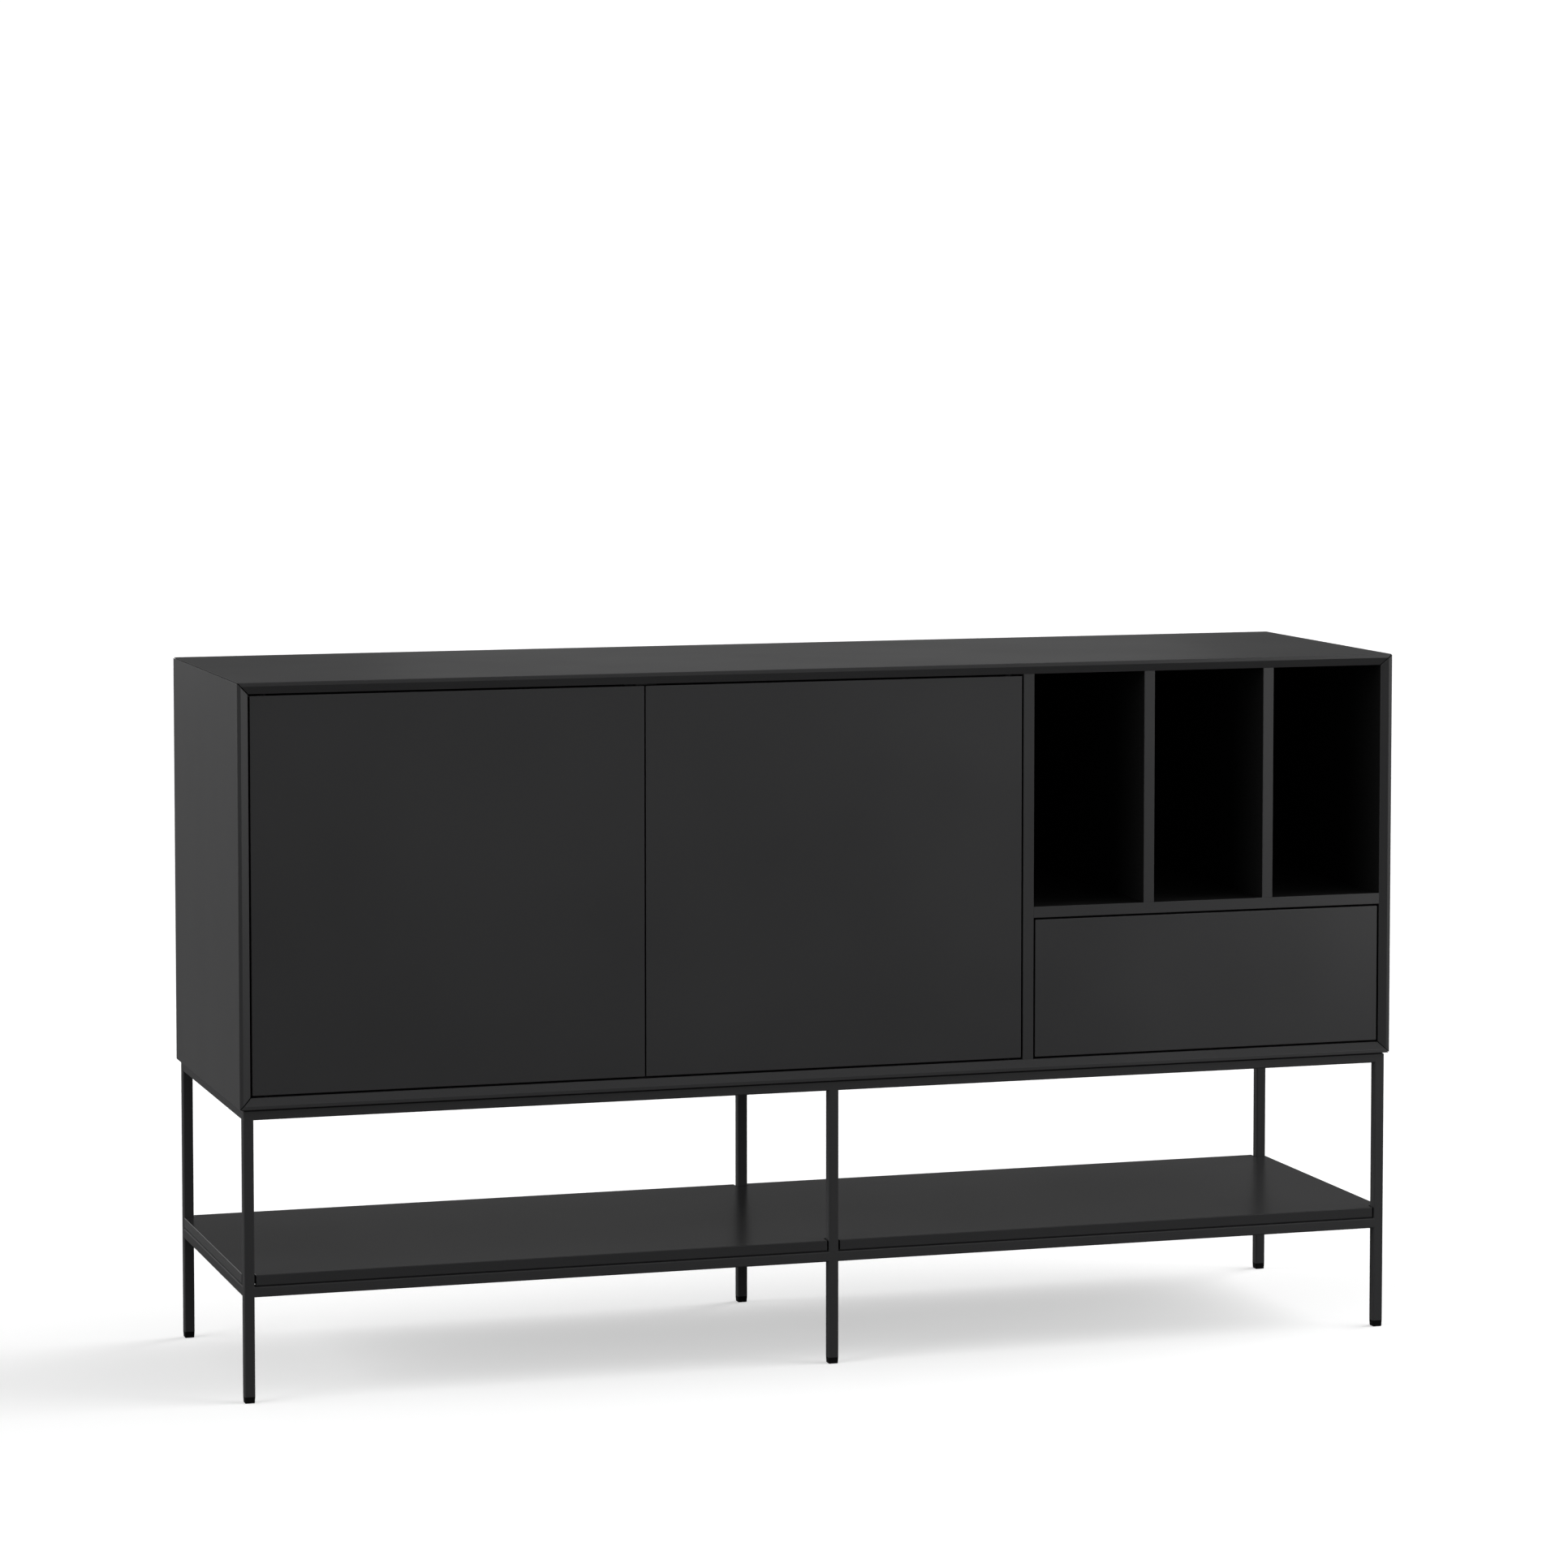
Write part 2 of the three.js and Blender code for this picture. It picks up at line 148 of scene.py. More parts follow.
def end_finish(
    tree: bpy.types.NodeTree,
    colours: tuple[str, str],
    shading: bpy.types.NodeSocket,
    relief: tuple[bpy.types.NodeSocket, float],
    constants: Settings,
    gloss: tuple[bpy.types.NodeSocket, float, float] | None = None,
) -> None:
    """Ends a finish in one shader, which its patterns colour, raise and dull.

    Args:
        tree: The finish's node tree.
        colours: The two colours that the shading runs between, as #rrggbb.
        shading: The pattern that mixes them.
        relief: The pattern that raises the surface, and how high it does.
        constants: The shader's settings that no pattern changes.
        gloss: The pattern that changes the roughness, and its two limits, or None.
    """
    first, second = (linear(colour) for colour in colours)
    mixed = add_node(tree, "ShaderNodeMixRGB", {"Color1": first, "Color2": second}, {"Fac": shading})
    pattern, height = relief
    raised = add_node(tree, "ShaderNodeBump", {"Strength": 1.0, "Distance": height}, {"Height": pattern})
    links = {"Base Color": mixed.outputs["Color"], "Normal": raised.outputs["Normal"]}
    if gloss is not None:
        pattern, smooth, rough = gloss
        span = {"From Min": NOISE_SPAN[0], "From Max": NOISE_SPAN[1], "To Min": smooth, "To Max": rough}
        links["Roughness"] = add_node(tree, "ShaderNodeMapRange", span, {"Value": pattern}).outputs["Result"]
    shader = add_node(tree, "ShaderNodeBsdfPrincipled", constants, links)
    add_node(tree, "ShaderNodeOutputMaterial", None, {"Surface": shader.outputs["BSDF"]})


@dataclass(frozen=True)
class SatinLacquer:
    """Black satin polyurethane lacquer, sprayed on fibreboard.

    The eye sees a deep even black with a soft sheen at low angles, a very faint orange peel in the
    reflections, and a slow drift in gloss where the spray overlapped.
    """

    name: str = "satin_lacquer_on_fibreboard"
    slot: str = "lacquered_board"
    word: str = "lacquered"
    colour: str = "#2d2d2e"
    drift_colour: str = "#303031"
    peel_size: float = 3.2 * MM  # real peel is 1.5 mm; drawn at twice that, so that it shows
    peel_height: float = 0.012 * MM
    drift_size: float = 260 * MM
    gloss: tuple[float, float] = (0.29, 0.35)
    refraction: float = 1.5

    def material(self) -> bpy.types.Material:
        """Builds the lacquer: drift in colour and gloss from slow noise, peel from fine noise.

        Returns:
            The finish as a material.
        """
        material = blank_material(self.name)
        tree = material.node_tree
        place = add_node(tree, "ShaderNodeTexCoord").outputs["Object"]
        drift = add_node(
            tree, "ShaderNodeTexNoise", {"Scale": 1 / self.drift_size, "Detail": 2.0}, {"Vector": place}
        ).outputs["Fac"]
        peel = add_node(
            tree, "ShaderNodeTexNoise", {"Scale": 1 / self.peel_size, "Detail": 1.0}, {"Vector": place}
        ).outputs["Fac"]
        colours, gloss = (self.colour, self.drift_colour), (drift, *self.gloss)
        end_finish(tree, colours, drift, (peel, self.peel_height), {"IOR": self.refraction}, gloss)
        return material


@dataclass(frozen=True)
class PowderCoat:
    """Fine-texture black powder coat, baked on welded steel tube.

    The eye sees a slightly grainy black, a little duller than the lacquer, with soft bright lines
    only along the rounded edges of the tube.
    """

    slot: str = "frame_steel"
    word: str = "coated"
    colour: str = "#29292a"
    speck_colour: str = "#313132"
    grain_size: float = 1.4 * MM  # real grain is 0.4 mm; drawn coarser, so that it shows
    grain_height: float = 0.035 * MM
    gloss: tuple[float, float] = (0.5, 0.6)
    refraction: float = 1.4

    def material(self) -> bpy.types.Material:
        """Builds the coat: one fine noise gives the specks, the gloss and the relief.

        Returns:
            The finish as a material.
        """
        material = blank_material("textured_powder_coat_on_steel")
        tree = material.node_tree
        place = add_node(tree, "ShaderNodeTexCoord").outputs["Object"]
        grain = add_node(
            tree, "ShaderNodeTexNoise", {"Scale": 1 / self.grain_size, "Detail": 3.0}, {"Vector": place}
        ).outputs["Fac"]
        colours, gloss = (self.colour, self.speck_colour), (grain, *self.gloss)
        end_finish(tree, colours, grain, (grain, self.grain_height), {"IOR": self.refraction}, gloss)
        return material


@dataclass(frozen=True)
class ZincPlate:
    """Zinc plate on rolled or turned steel, bright, or black where it faces the room.

    The eye sees a cool metal with faint streaks along the rolling direction and small patches
    where the plating took differently.
    """

    name: str = "bright_zinc_on_steel"
    slot: str = "zinc_steel"
    word: str = "plated"
    colour: str = "#b9bcc0"
    patch_colour: str = "#a5a9ae"
    streak_width: float = 0.8 * MM
    streak_length: float = 40 * MM
    streak_height: float = 0.004 * MM
    patch_size: float = 6 * MM
    gloss: tuple[float, float] = (0.24, 0.38)

    def material(self) -> bpy.types.Material:
        """Builds the plate: noise drawn out along Y for the streaks, rounder noise for the patches.

        Returns:
            The finish as a material.
        """
        material = blank_material(self.name)
        tree = material.node_tree
        place = add_node(tree, "ShaderNodeTexCoord").outputs["Object"]
        across, along = 1 / self.streak_width, 1 / self.streak_length
        drawn_out = add_node(
            tree, "ShaderNodeMapping", {"Scale": (across, along, across)}, {"Vector": place}
        ).outputs["Vector"]
        streaks = add_node(
            tree, "ShaderNodeTexNoise", {"Scale": 1.0, "Detail": 2.0}, {"Vector": drawn_out}
        ).outputs["Fac"]
        patches = add_node(
            tree, "ShaderNodeTexVoronoi", {"Scale": 1 / self.patch_size}, {"Vector": place}
        ).outputs["Distance"]
        colours, gloss = (self.colour, self.patch_colour), (streaks, *self.gloss)
        end_finish(tree, colours, patches, (streaks, self.streak_height), {"Metallic": 1.0}, gloss)
        return material


@dataclass(frozen=True)
class MouldedPlastic:
    """Injection-moulded plastic from a spark-eroded mould.

    The eye sees a flat colour with a fine even pebble, and a low broad sheen.
    """

    name: str
    slot: str
    word: str
    colour: str
    pebble_colour: str
    pebble_size: float = 0.9 * MM
    pebble_height: float = 0.02 * MM
    roughness: float = 0.45
    refraction: float = 1.5

    def material(self) -> bpy.types.Material:
        """Builds the plastic: pebbles from rounded cells, which also shade the colour a little.

        Returns:
            The finish as a material.
        """
        material = blank_material(self.name)
        tree = material.node_tree
        place = add_node(tree, "ShaderNodeTexCoord").outputs["Object"]
        pebbles = add_node(
            tree,
            "ShaderNodeTexVoronoi",
            {"feature": "SMOOTH_F1", "Scale": 1 / self.pebble_size, "Smoothness": 0.6},
            {"Vector": place},
        ).outputs["Distance"]
        constants = {"IOR": self.refraction, "Roughness": self.roughness}
        colours = (self.colour, self.pebble_colour)
        end_finish(tree, colours, pebbles, (pebbles, self.pebble_height), constants)
        return material


@dataclass(frozen=True)
class FoiledBoard:
    """Board faced with black foil or melamine paper, pressed with a soft fibre texture.

    The eye sees a dull near-black with short faint flecks that all run one way.
    """

    name: str
    slot: str
    word: str
    colour: str
    fleck_colour: str
    fleck_width: float = 0.9 * MM
    fleck_length: float = 14 * MM
    fleck_height: float = 0.02 * MM
    gloss: tuple[float, float] = (0.5, 0.62)
    refraction: float = 1.5

    def material(self) -> bpy.types.Material:
        """Builds the foil: noise drawn out along X and Y for the flecks, in colour, gloss and relief.

        Returns:
            The finish as a material.
        """
        material = blank_material(self.name)
        tree = material.node_tree
        place = add_node(tree, "ShaderNodeTexCoord").outputs["Object"]
        long, short = 1 / self.fleck_length, 1 / self.fleck_width
        drawn_out = add_node(
            tree, "ShaderNodeMapping", {"Scale": (long, long, short)}, {"Vector": place}
        ).outputs["Vector"]
        flecks = add_node(
            tree, "ShaderNodeTexNoise", {"Scale": 1.0, "Detail": 4.0}, {"Vector": drawn_out}
        ).outputs["Fac"]
        colours, gloss = (self.colour, self.fleck_colour), (flecks, *self.gloss)
        end_finish(tree, colours, flecks, (flecks, self.fleck_height), {"IOR": self.refraction}, gloss)
        return material


LACQUER = SatinLacquer()
# Lacquer that was rubbed out finer, so that the legs show in the low shelf as dark streaks.
RUBBED_LACQUER = SatinLacquer(name="rubbed_lacquer_on_fibreboard", gloss=(0.23, 0.27), refraction=1.42)
POWDER_COAT = PowderCoat()
ZINC = ZincPlate()
# Dark plate on the pivots and bolts, which hardly shows against the lacquer.
BLACK_ZINC = ZincPlate("black_zinc_on_steel", colour="#1c1c1d", patch_colour="#141415", gloss=(0.45, 0.55))
# The deepest black of the stand: hardly any light comes back from the feet.
FOOT_NYLON = MouldedPlastic(
    "moulded_black_nylon", "foot_plastic", "moulded", "#030303", "#060606", roughness=0.75, refraction=1.25
)
# Plain dark grey with a dull sheen, so that the latches hardly show beside the doors.
LATCH_ACETAL = MouldedPlastic(
    "moulded_dark_grey_acetal", "latch_plastic", "moulded", "#262729", "#2c2d2f", roughness=0.5
)
# Dark dull rubber of plungers and bumpers; the felt tapes share it, and it paints the shade in their seams.
RUBBER_AND_SEAM_SHADE = MouldedPlastic(
    "dark_rubber_and_seam_shade", "plunger_plastic", "moulded", "#161617", "#1d1d1e", roughness=0.65
)
# Foil on the back, darker and duller than the lacquer.
BACK_FOIL = FoiledBoard("foiled_hardboard", "back_board", "foiled", "#0f0f10", "#171718", refraction=1.4)
# Painted shade: a near-black, dull finish that takes nearly all light, so that the open compartments look
# black.
COMPARTMENT_SHADE = FoiledBoard(
    "painted_compartment_shade", "lacquered_board", "shade_painted", "#060606", "#090909", gloss=(0.82, 0.92), refraction=1.25
)
# Plain dark grey boards of the drawer's box, with a dull sheen.
DRAWER_MELAMINE = FoiledBoard(
    "melamine_faced_board", "drawer_board", "melamine", "#29292b", "#343436", gloss=(0.42, 0.52)
)


# ---------------------------------------------------------------- surfaces worked out with numpy


@dataclass(frozen=True)
class Skin:
    """A closed surface: its points, its faces in blocks of equal corner count, and its normals."""

    points: Array
    blocks: tuple[NDArray[np.int64], ...]
    normals: Array | None = None

    def volume(self) -> float:
        """Adds up a sixth of the triple product of each triangle in every face's fan.

        Returns:
            The signed volume, below zero where the faces point inwards.
        """
        total = 0.0
        for block in self.blocks:
            first, rest = self.points[block[:, :1]], self.points[block[:, 1:]]
            normal = np.cross(rest[:, :-1] - first, rest[:, 1:] - first)
            total += float((normal * first).sum()) / 6
        return total

    def mirrored(self, axis: int, about: float) -> "Skin":
        """Turns the surface over, as in a mirror.

        Args:
            axis: The world axis that the mirror stands across.
            about: Where on that axis it stands.

        Returns:
            The mirrored surface.
        """
        points = self.points.copy()
        points[:, axis] = 2 * about - points[:, axis]
        normals = None if self.normals is None else self.normals * np.where(np.arange(3) == axis, -1, 1)
        return Skin(points, self.blocks, normals)


def joined(skins: list[Skin]) -> Skin:
    """Puts several surfaces in one mesh.

    Args:
        skins: The surfaces, either all with normals or all without.

    Returns:
        One surface with the faces of all.
    """
    starts = np.cumsum([0] + [len(skin.points) for skin in skins])
    blocks = tuple(block + start for skin, start in zip(skins, starts) for block in skin.blocks)
    normals = None if skins[0].normals is None else np.concatenate([skin.normals for skin in skins])
    return Skin(np.concatenate([skin.points for skin in skins]), blocks, normals)


def grid_faces(rings: int, points: int, endless: bool) -> NDArray[np.int64]:
    """Quads between neighbouring rings of a grid whose rings are closed.

    Args:
        rings: Number of rings.
        points: Number of points in each ring.
        endless: Whether the last ring joins the first one.

    Returns:
        One row of four corner numbers for each quad.
    """
    ring, point = np.meshgrid(np.arange(rings if endless else rings - 1), np.arange(points), indexing="ij")
    after, beside = (ring + 1) % rings, (point + 1) % points
    corners = [ring * points + point, ring * points + beside, after * points + beside, after * points + point]
    return np.stack(corners, -1).reshape(-1, 4)


def capped(rings: Array, normals: Array | None = None) -> Skin:
    """A grid of rings, closed by one flat face over its first ring and one over its last.

    Args:
        rings: Points as ring, point and coordinate.
        normals: The normals in the same order, or None.

    Returns:
        The closed surface.
    """
    count, points = rings.shape[:2]
    ends = np.stack([np.arange(points)[::-1], np.arange(points) + (count - 1) * points])
    flat = None if normals is None else normals.reshape(-1, 3)
    return Skin(rings.reshape(-1, 3), (grid_faces(count, points, False), ends), flat)


@dataclass(frozen=True)
class Arcs:
    """Corners turned to arcs: points and outward vectors, as corner, step and coordinate."""

    points: Array
    outward: Array

    def loop(self) -> tuple[Array, Array]:
        """The points and outward vectors of the whole closed outline, in order."""
        return self.points.reshape(-1, 2), self.outward.reshape(-1, 2)


def arcs(corners: Array | list, radii: float | list, steps: int = ARC_STEPS) -> Arcs:
    """Rounds every corner of a polygon by an arc that is tangent to both of its edges.

    Where the path turns by f, the arc of radius r starts r tan(f / 2) before the corner. Its
    centre lies r inside the edge, and each point is the centre plus r times the outward vector,
    which turns evenly from one edge's right-hand normal to the next one's. On a hollow corner
    the centre lies outside, and r counts as negative.

    Args:
        corners: The polygon's corners in order, with the solid on the left of the path.
        radii: One radius, or one for each corner.
        steps: Number of steps in each arc.

    Returns:
        The arcs of all corners.
    """
    corners = np.asarray(corners, float)
    radius = np.broadcast_to(np.asarray(radii, float), len(corners))[:, None]
    leaving = np.roll(corners, -1, 0) - corners
    leaving = leaving / np.linalg.norm(leaving, axis=1, keepdims=True)
    arriving = np.roll(leaving, 1, 0)
    across = arriving[:, 0] * leaving[:, 1] - arriving[:, 1] * leaving[:, 0]
    turn = np.arctan2(across, (arriving * leaving).sum(1))[:, None]
    right = np.stack([arriving[:, 1], -arriving[:, 0]], 1)
    signed = np.sign(turn) * radius
    centre = corners - arriving * radius * np.tan(np.abs(turn) / 2) - signed * right
    angle = turn * np.linspace(0, 1, steps + 1)
    cos, sin = np.cos(angle), np.sin(angle)
    x, y = right[:, :1], right[:, 1:]
    outward = np.stack([x * cos - y * sin, x * sin + y * cos], -1)
    return Arcs(centre[:, None] + signed[:, None] * outward, outward)


@dataclass(frozen=True)
class Section:
    """What each ring of a carried outline does: how far it stands out, where it lies, its normal."""

    out: Array
    along: Array
    facing: Array
    hollow: bool = False

    @classmethod
    def rounded(
        cls, path: list, radii: float | list, kept: slice = slice(None), hollow: bool = False
    ) -> "Section":
        """Rings that follow the rounded corners of a path.

        Args:
            path: How far out and where along each corner of the path lies.
            radii: One radius for all corners, or one for each.
            kept: The corners that become rings.
            hollow: Whether the last ring joins the first one.

        Returns:
            The rings.
        """
        made = arcs(path, radii)
        out, along = made.points[kept].reshape(-1, 2).T
        return cls(out, along, made.outward[kept].reshape(-1, 2), hollow)

    @classmethod
    def solid(cls, low: float, high: float, ease: float) -> "Section":
        """A solid length with its ends eased by a quarter circle."""
        path = [[-2 * ease, low], [0, low], [0, high], [-2 * ease, high]]
        return cls.rounded(path, ease, slice(1, 3))

    @classmethod
    def pipe(cls, low: float, high: float, wall: float, ease: float) -> "Section":
        """A length of tube between two places, open at both ends, their rims eased."""
        return cls.rounded([[0, low], [0, high], [-wall, high], [-wall, low]], ease, hollow=True)

    @classmethod
    def capped_pipe(cls, low: float, high: float, wall: float, ease: float, crown: float) -> "Section":
        """A length of tube whose far end is plated over.

        Args:
            low: Where the open end lies.
            high: Where the plated end lies.
            wall: Thickness of the wall and of the plate.
            ease: Radius of the small easings.
            crown: Radius round the plate's outside.

        Returns:
            The rings, from inside the plate down the bore and up the outside.
        """
        ceiling = high - wall
        inside = [[-2 * wall, ceiling], [-wall, ceiling], [-wall, low]]
        outside = [[0, low], [0, high], [-2 * crown, high]]
        return cls.rounded(inside + outside, [ease, ease, ease, ease, crown, ease], slice(1, 5))


class Lay(Enum):
    """World axes that an outline's two coordinates and its path take."""

    ALONG_X = (1, 2, 0)
    ALONG_Y = (0, 2, 1)
    ALONG_Z = (0, 1, 2)
    ALONG_Z_FROM_SIDE = (1, 0, 2)


def carried(
    corners: Array | list, radii: float | list, section: Section, lay: Lay, lean: float = 0.0
) -> Skin:
    """Carries a rounded outline along one axis.

    Ring k holds every outline point, moved out by out[k] along its outward vector, at along[k] on
    the path. With a lean, each half of the length is sheared, so that a point at height v lies
    lean times v nearer its end, which cuts both ends at an angle. A normal is the outward vector
    times facing[k, 0], plus facing[k, 1] times the normal of the sheared end.

    Args:
        corners: The outline's corners in the two coordinates that lay names first.
        radii: One radius for all corners, or one for each.
        section: The rings.
        lay: Which world axes the outline and its path take.
        lean: How far the ends shear for each unit of the outline's second coordinate.

    Returns:
        The closed surface.
    """
    corners = np.asarray(corners, float)
    radii = np.broadcast_to(np.asarray(radii, float), len(corners))
    following = np.roll(corners, -1, 0)
    if (corners[:, 0] * following[:, 1] - corners[:, 1] * following[:, 0]).sum() < 0:
        corners, radii = corners[::-1], radii[::-1]
    outline, outward = arcs(corners, radii).loop()
    flat = outline[None] + section.out[:, None, None] * outward[None]
    half = np.sign(section.along - (section.along.min() + section.along.max()) / 2)[:, None]
    path = section.along[:, None] + half * lean * flat[..., 1]
    local = np.concatenate([flat, path[..., None]], -1)
    side = np.concatenate([section.facing[:, :1, None] * outward[None], np.zeros_like(path)[..., None]], -1)
    end = np.stack([0 * half, -half * lean, np.ones_like(half)], -1) / math.hypot(1, lean)
    normal = side + section.facing[:, 1:, None] * end
    normal /= np.linalg.norm(normal, axis=-1, keepdims=True)
    points, normals = np.empty_like(local), np.empty_like(normal)
    points[..., list(lay.value)], normals[..., list(lay.value)] = local, normal
    if section.hollow:
        faces = grid_faces(*points.shape[:2], True)
        return Skin(points.reshape(-1, 3), (faces,), normals.reshape(-1, 3))
    return capped(points, normals)


def rectangle(low: Array, high: Array, lay: Lay) -> list[list[float]]:
    """A box's outline across the axis that it is carried along.

    Args:
        low: The box's lowest corner.
        high: Its highest corner.
        lay: Which world axes the outline and its path take.

    Returns:
        The outline's four corners.
    """
    u, v, _ = lay.value
    return [[low[u], low[v]], [high[u], low[v]], [high[u], high[v]], [low[u], high[v]]]


def limits(node: str) -> tuple[Array, Array]:
    """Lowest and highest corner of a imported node, as arrays."""
    low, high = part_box(node)
    return np.array(low), np.array(high)


def slab(node: str, lay: Lay, ease: float, end_ease: float) -> Skin:
    """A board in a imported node's place: a rounded rectangle carried along one axis.

    Args:
        node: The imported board.
        lay: The axes of its outline and its length.
        ease: Radius of the outline's corners.
        end_ease: Radius round its two ends.

    Returns:
        The board's surface.
    """
    low, high = limits(node)
    _, _, w = lay.value
    return carried(rectangle(low, high, lay), ease, Section.solid(low[w], high[w], end_ease), lay)


def turned(profile: Array | list, segments: int = 24) -> Skin:
    """Turns a profile about the Z axis.

    Point k at angle a is (r cos a, r sin a, z), for each radius and height of the profile.

    Args:
        profile: Radius and height of each ring, none on the axis.
        segments: Number of steps round the axis.

    Returns:
        The surface, closed by a flat face at each end.
    """
    profile = np.asarray(profile, float)
    angle = np.linspace(0, 2 * math.pi, segments, endpoint=False)
    radius, height = profile[:, :1], profile[:, 1:]
    rings = [radius * np.cos(angle), radius * np.sin(angle), height + 0 * angle]
    return capped(np.stack(rings, -1))


def set_down(skin: Skin, places: Array | list, facing: tuple[float, float, float]) -> Skin:
    """Copies a small fitting to several places, its own +Z turned to one direction.

    Args:
        skin: The fitting about the origin, without normals of its own.
        places: Where its origin goes, one row for each copy.
        facing: The direction that its +Z takes.

    Returns:
        All copies as one surface.
    """
    places = np.atleast_2d(np.asarray(places, float))
    turn = np.array(Vector(facing).to_track_quat("Z", "Y").to_matrix())
    points = skin.points @ turn.T
    every = (places[:, None] + points[None]).reshape(-1, 3)
    shift = (np.arange(len(places)) * len(points))[:, None, None]
    blocks = tuple((block[None] + shift).reshape(-1, block.shape[1]) for block in skin.blocks)
    return Skin(every, blocks)


class Drive(Enum):
    """The recess in a screw's head."""

    HEX = "hex"
    CROSS = "cross"


@dataclass(frozen=True)
class Screw:
    """A screw head on a surface at z = 0, with a recess for the driver.

    Rings go from the rim over the dome to the recess. A round ring is r at every angle. A hex ring
    is the apothem over the cosine of the angle to the nearest flat. A cross ring is the smaller of
    arm length over the larger, and arm width over the smaller, of cosine and sine.
    """

    radius: float
    height: float
    drive: Drive
    segments: int = 48
    crown: float = 0.72  # this and the next three are shares of the head's radius
    hex_reach: float = 0.42
    arm_reach: float = 0.62
    arm_width: float = 0.14

    def recess(self, angle: Array) -> Array:
        """How wide the recess's mouth is.

        Args:
            angle: Angles round the screw's axis.

        Returns:
            The radius at each angle.
        """
        if self.drive is Drive.HEX:
            sixth = math.pi / 3
            return self.hex_reach * self.radius / np.cos(np.mod(angle, sixth) - sixth / 2)
        cos, sin = np.abs(np.cos(angle)), np.abs(np.sin(angle))
        arm, width = self.arm_reach * self.radius, self.arm_width * self.radius
        return np.minimum(arm / np.maximum(cos, sin), width / np.maximum(np.minimum(cos, sin), 1e-6))

    def skin(self) -> Skin:
        """The head as rings: rim, shoulder, dome, mouth of the recess and its floor.

        Returns:
            The head's surface, closed under its rim and over the recess's floor.
        """
        angle = (np.arange(self.segments) + 0.5) * 2 * math.pi / self.segments
        recess = self.recess(angle)
        rim = self.radius + 0 * angle
        radii = [rim, rim, 0.96 * rim, 0.87 * rim, self.crown * rim, recess, 0.8 * recess]
        shares = [-0.3, 0.35, 0.62, 0.84, 0.97, 1.0, 0.3]  # of the head's height
        rings = [np.stack([r * np.cos(angle), r * np.sin(angle), share * self.height + 0 * r], -1)
                 for r, share in zip(radii, shares)]
        return capped(np.stack(rings))


# ---------------------------------------------------------------- pieces


def place_piece(name: str, skin: Skin, finish: Finish, body: str, *nodes: str) -> bpy.types.Object:
    """Makes a surface a piece of the sideboard.

    Args:
        name: The piece's name.
        skin: Its surface. Without normals, edges over 35 degrees stay sharp.
        finish: What it is made of.
        body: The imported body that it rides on.
        *nodes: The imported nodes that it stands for.

    Returns:
        The new object.
    """
    turn_over = skin.volume() < 0
    faces = [face for block in skin.blocks for face in (block[:, ::-1] if turn_over else block).tolist()]
    mesh = bpy.data.meshes.new(name)
    mesh.from_pydata(skin.points.tolist(), [], faces, shade_flat=False)
    mesh.update()
    if skin.normals is None:
        mesh.set_sharp_from_angle(angle=SHARP_ANGLE)
    else:
        mesh.normals_split_custom_set_from_vertices(skin.normals.tolist())
    mesh.materials.append(made_of(finish))
    piece = bpy.data.objects.new(name, mesh)
    bpy.context.scene.collection.objects.link(piece)
    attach(piece, body)
    if nodes:
        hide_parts(*nodes)
    log.info("%s: %d faces on %s", name, len(faces), body)
    return piece


def stand_in(node: str, skin: Skin, finish: Finish, body: str = "carcass") -> bpy.types.Object:
    """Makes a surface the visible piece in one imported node's place, named after its finish and it."""
    return place_piece(f"{finish.word}_{node}", skin, finish, body, node)


def paint_compartment_shade(piece: bpy.types.Object, setback: float = 1 * MM) -> None:
    """Gives the faces that look into the open compartments a near-black painted shade, not the front edges.

    Args:
        piece: A board round the compartments, or one between them.
        setback: How far behind the fronts the lining starts.
    """
    mesh = piece.data
    centres = np.empty(3 * len(mesh.polygons))
    mesh.polygons.foreach_get("center", centres)
    divider, side, top = limits("main_divider"), limits("right_side_panel"), limits("top_panel")
    middle = (divider[0][0] + divider[1][0]) / 2
    low = np.array([middle, limits("left_door")[0][1] + setback, limits("drawer_shelf")[0][2]])
    high = np.array([side[0][0], limits("back_panel")[1][1], top[0][2]]) + FACE_SLACK
    centres = centres.reshape(-1, 3)
    inside = ((centres > low) & (centres < high)).all(1)
    mesh.materials.append(made_of(COMPARTMENT_SHADE))
    mesh.polygons.foreach_set("material_index", inside.astype(np.int32))


def refinish(node: str, finish: Finish) -> None:
    """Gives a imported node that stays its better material.

    Args:
        node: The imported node.
        finish: What it is made of.
    """
    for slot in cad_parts[node].material_slots:
        slot.material = made_of(finish)
    log.info("%s keeps its shape, in %s", node, finish.slot)


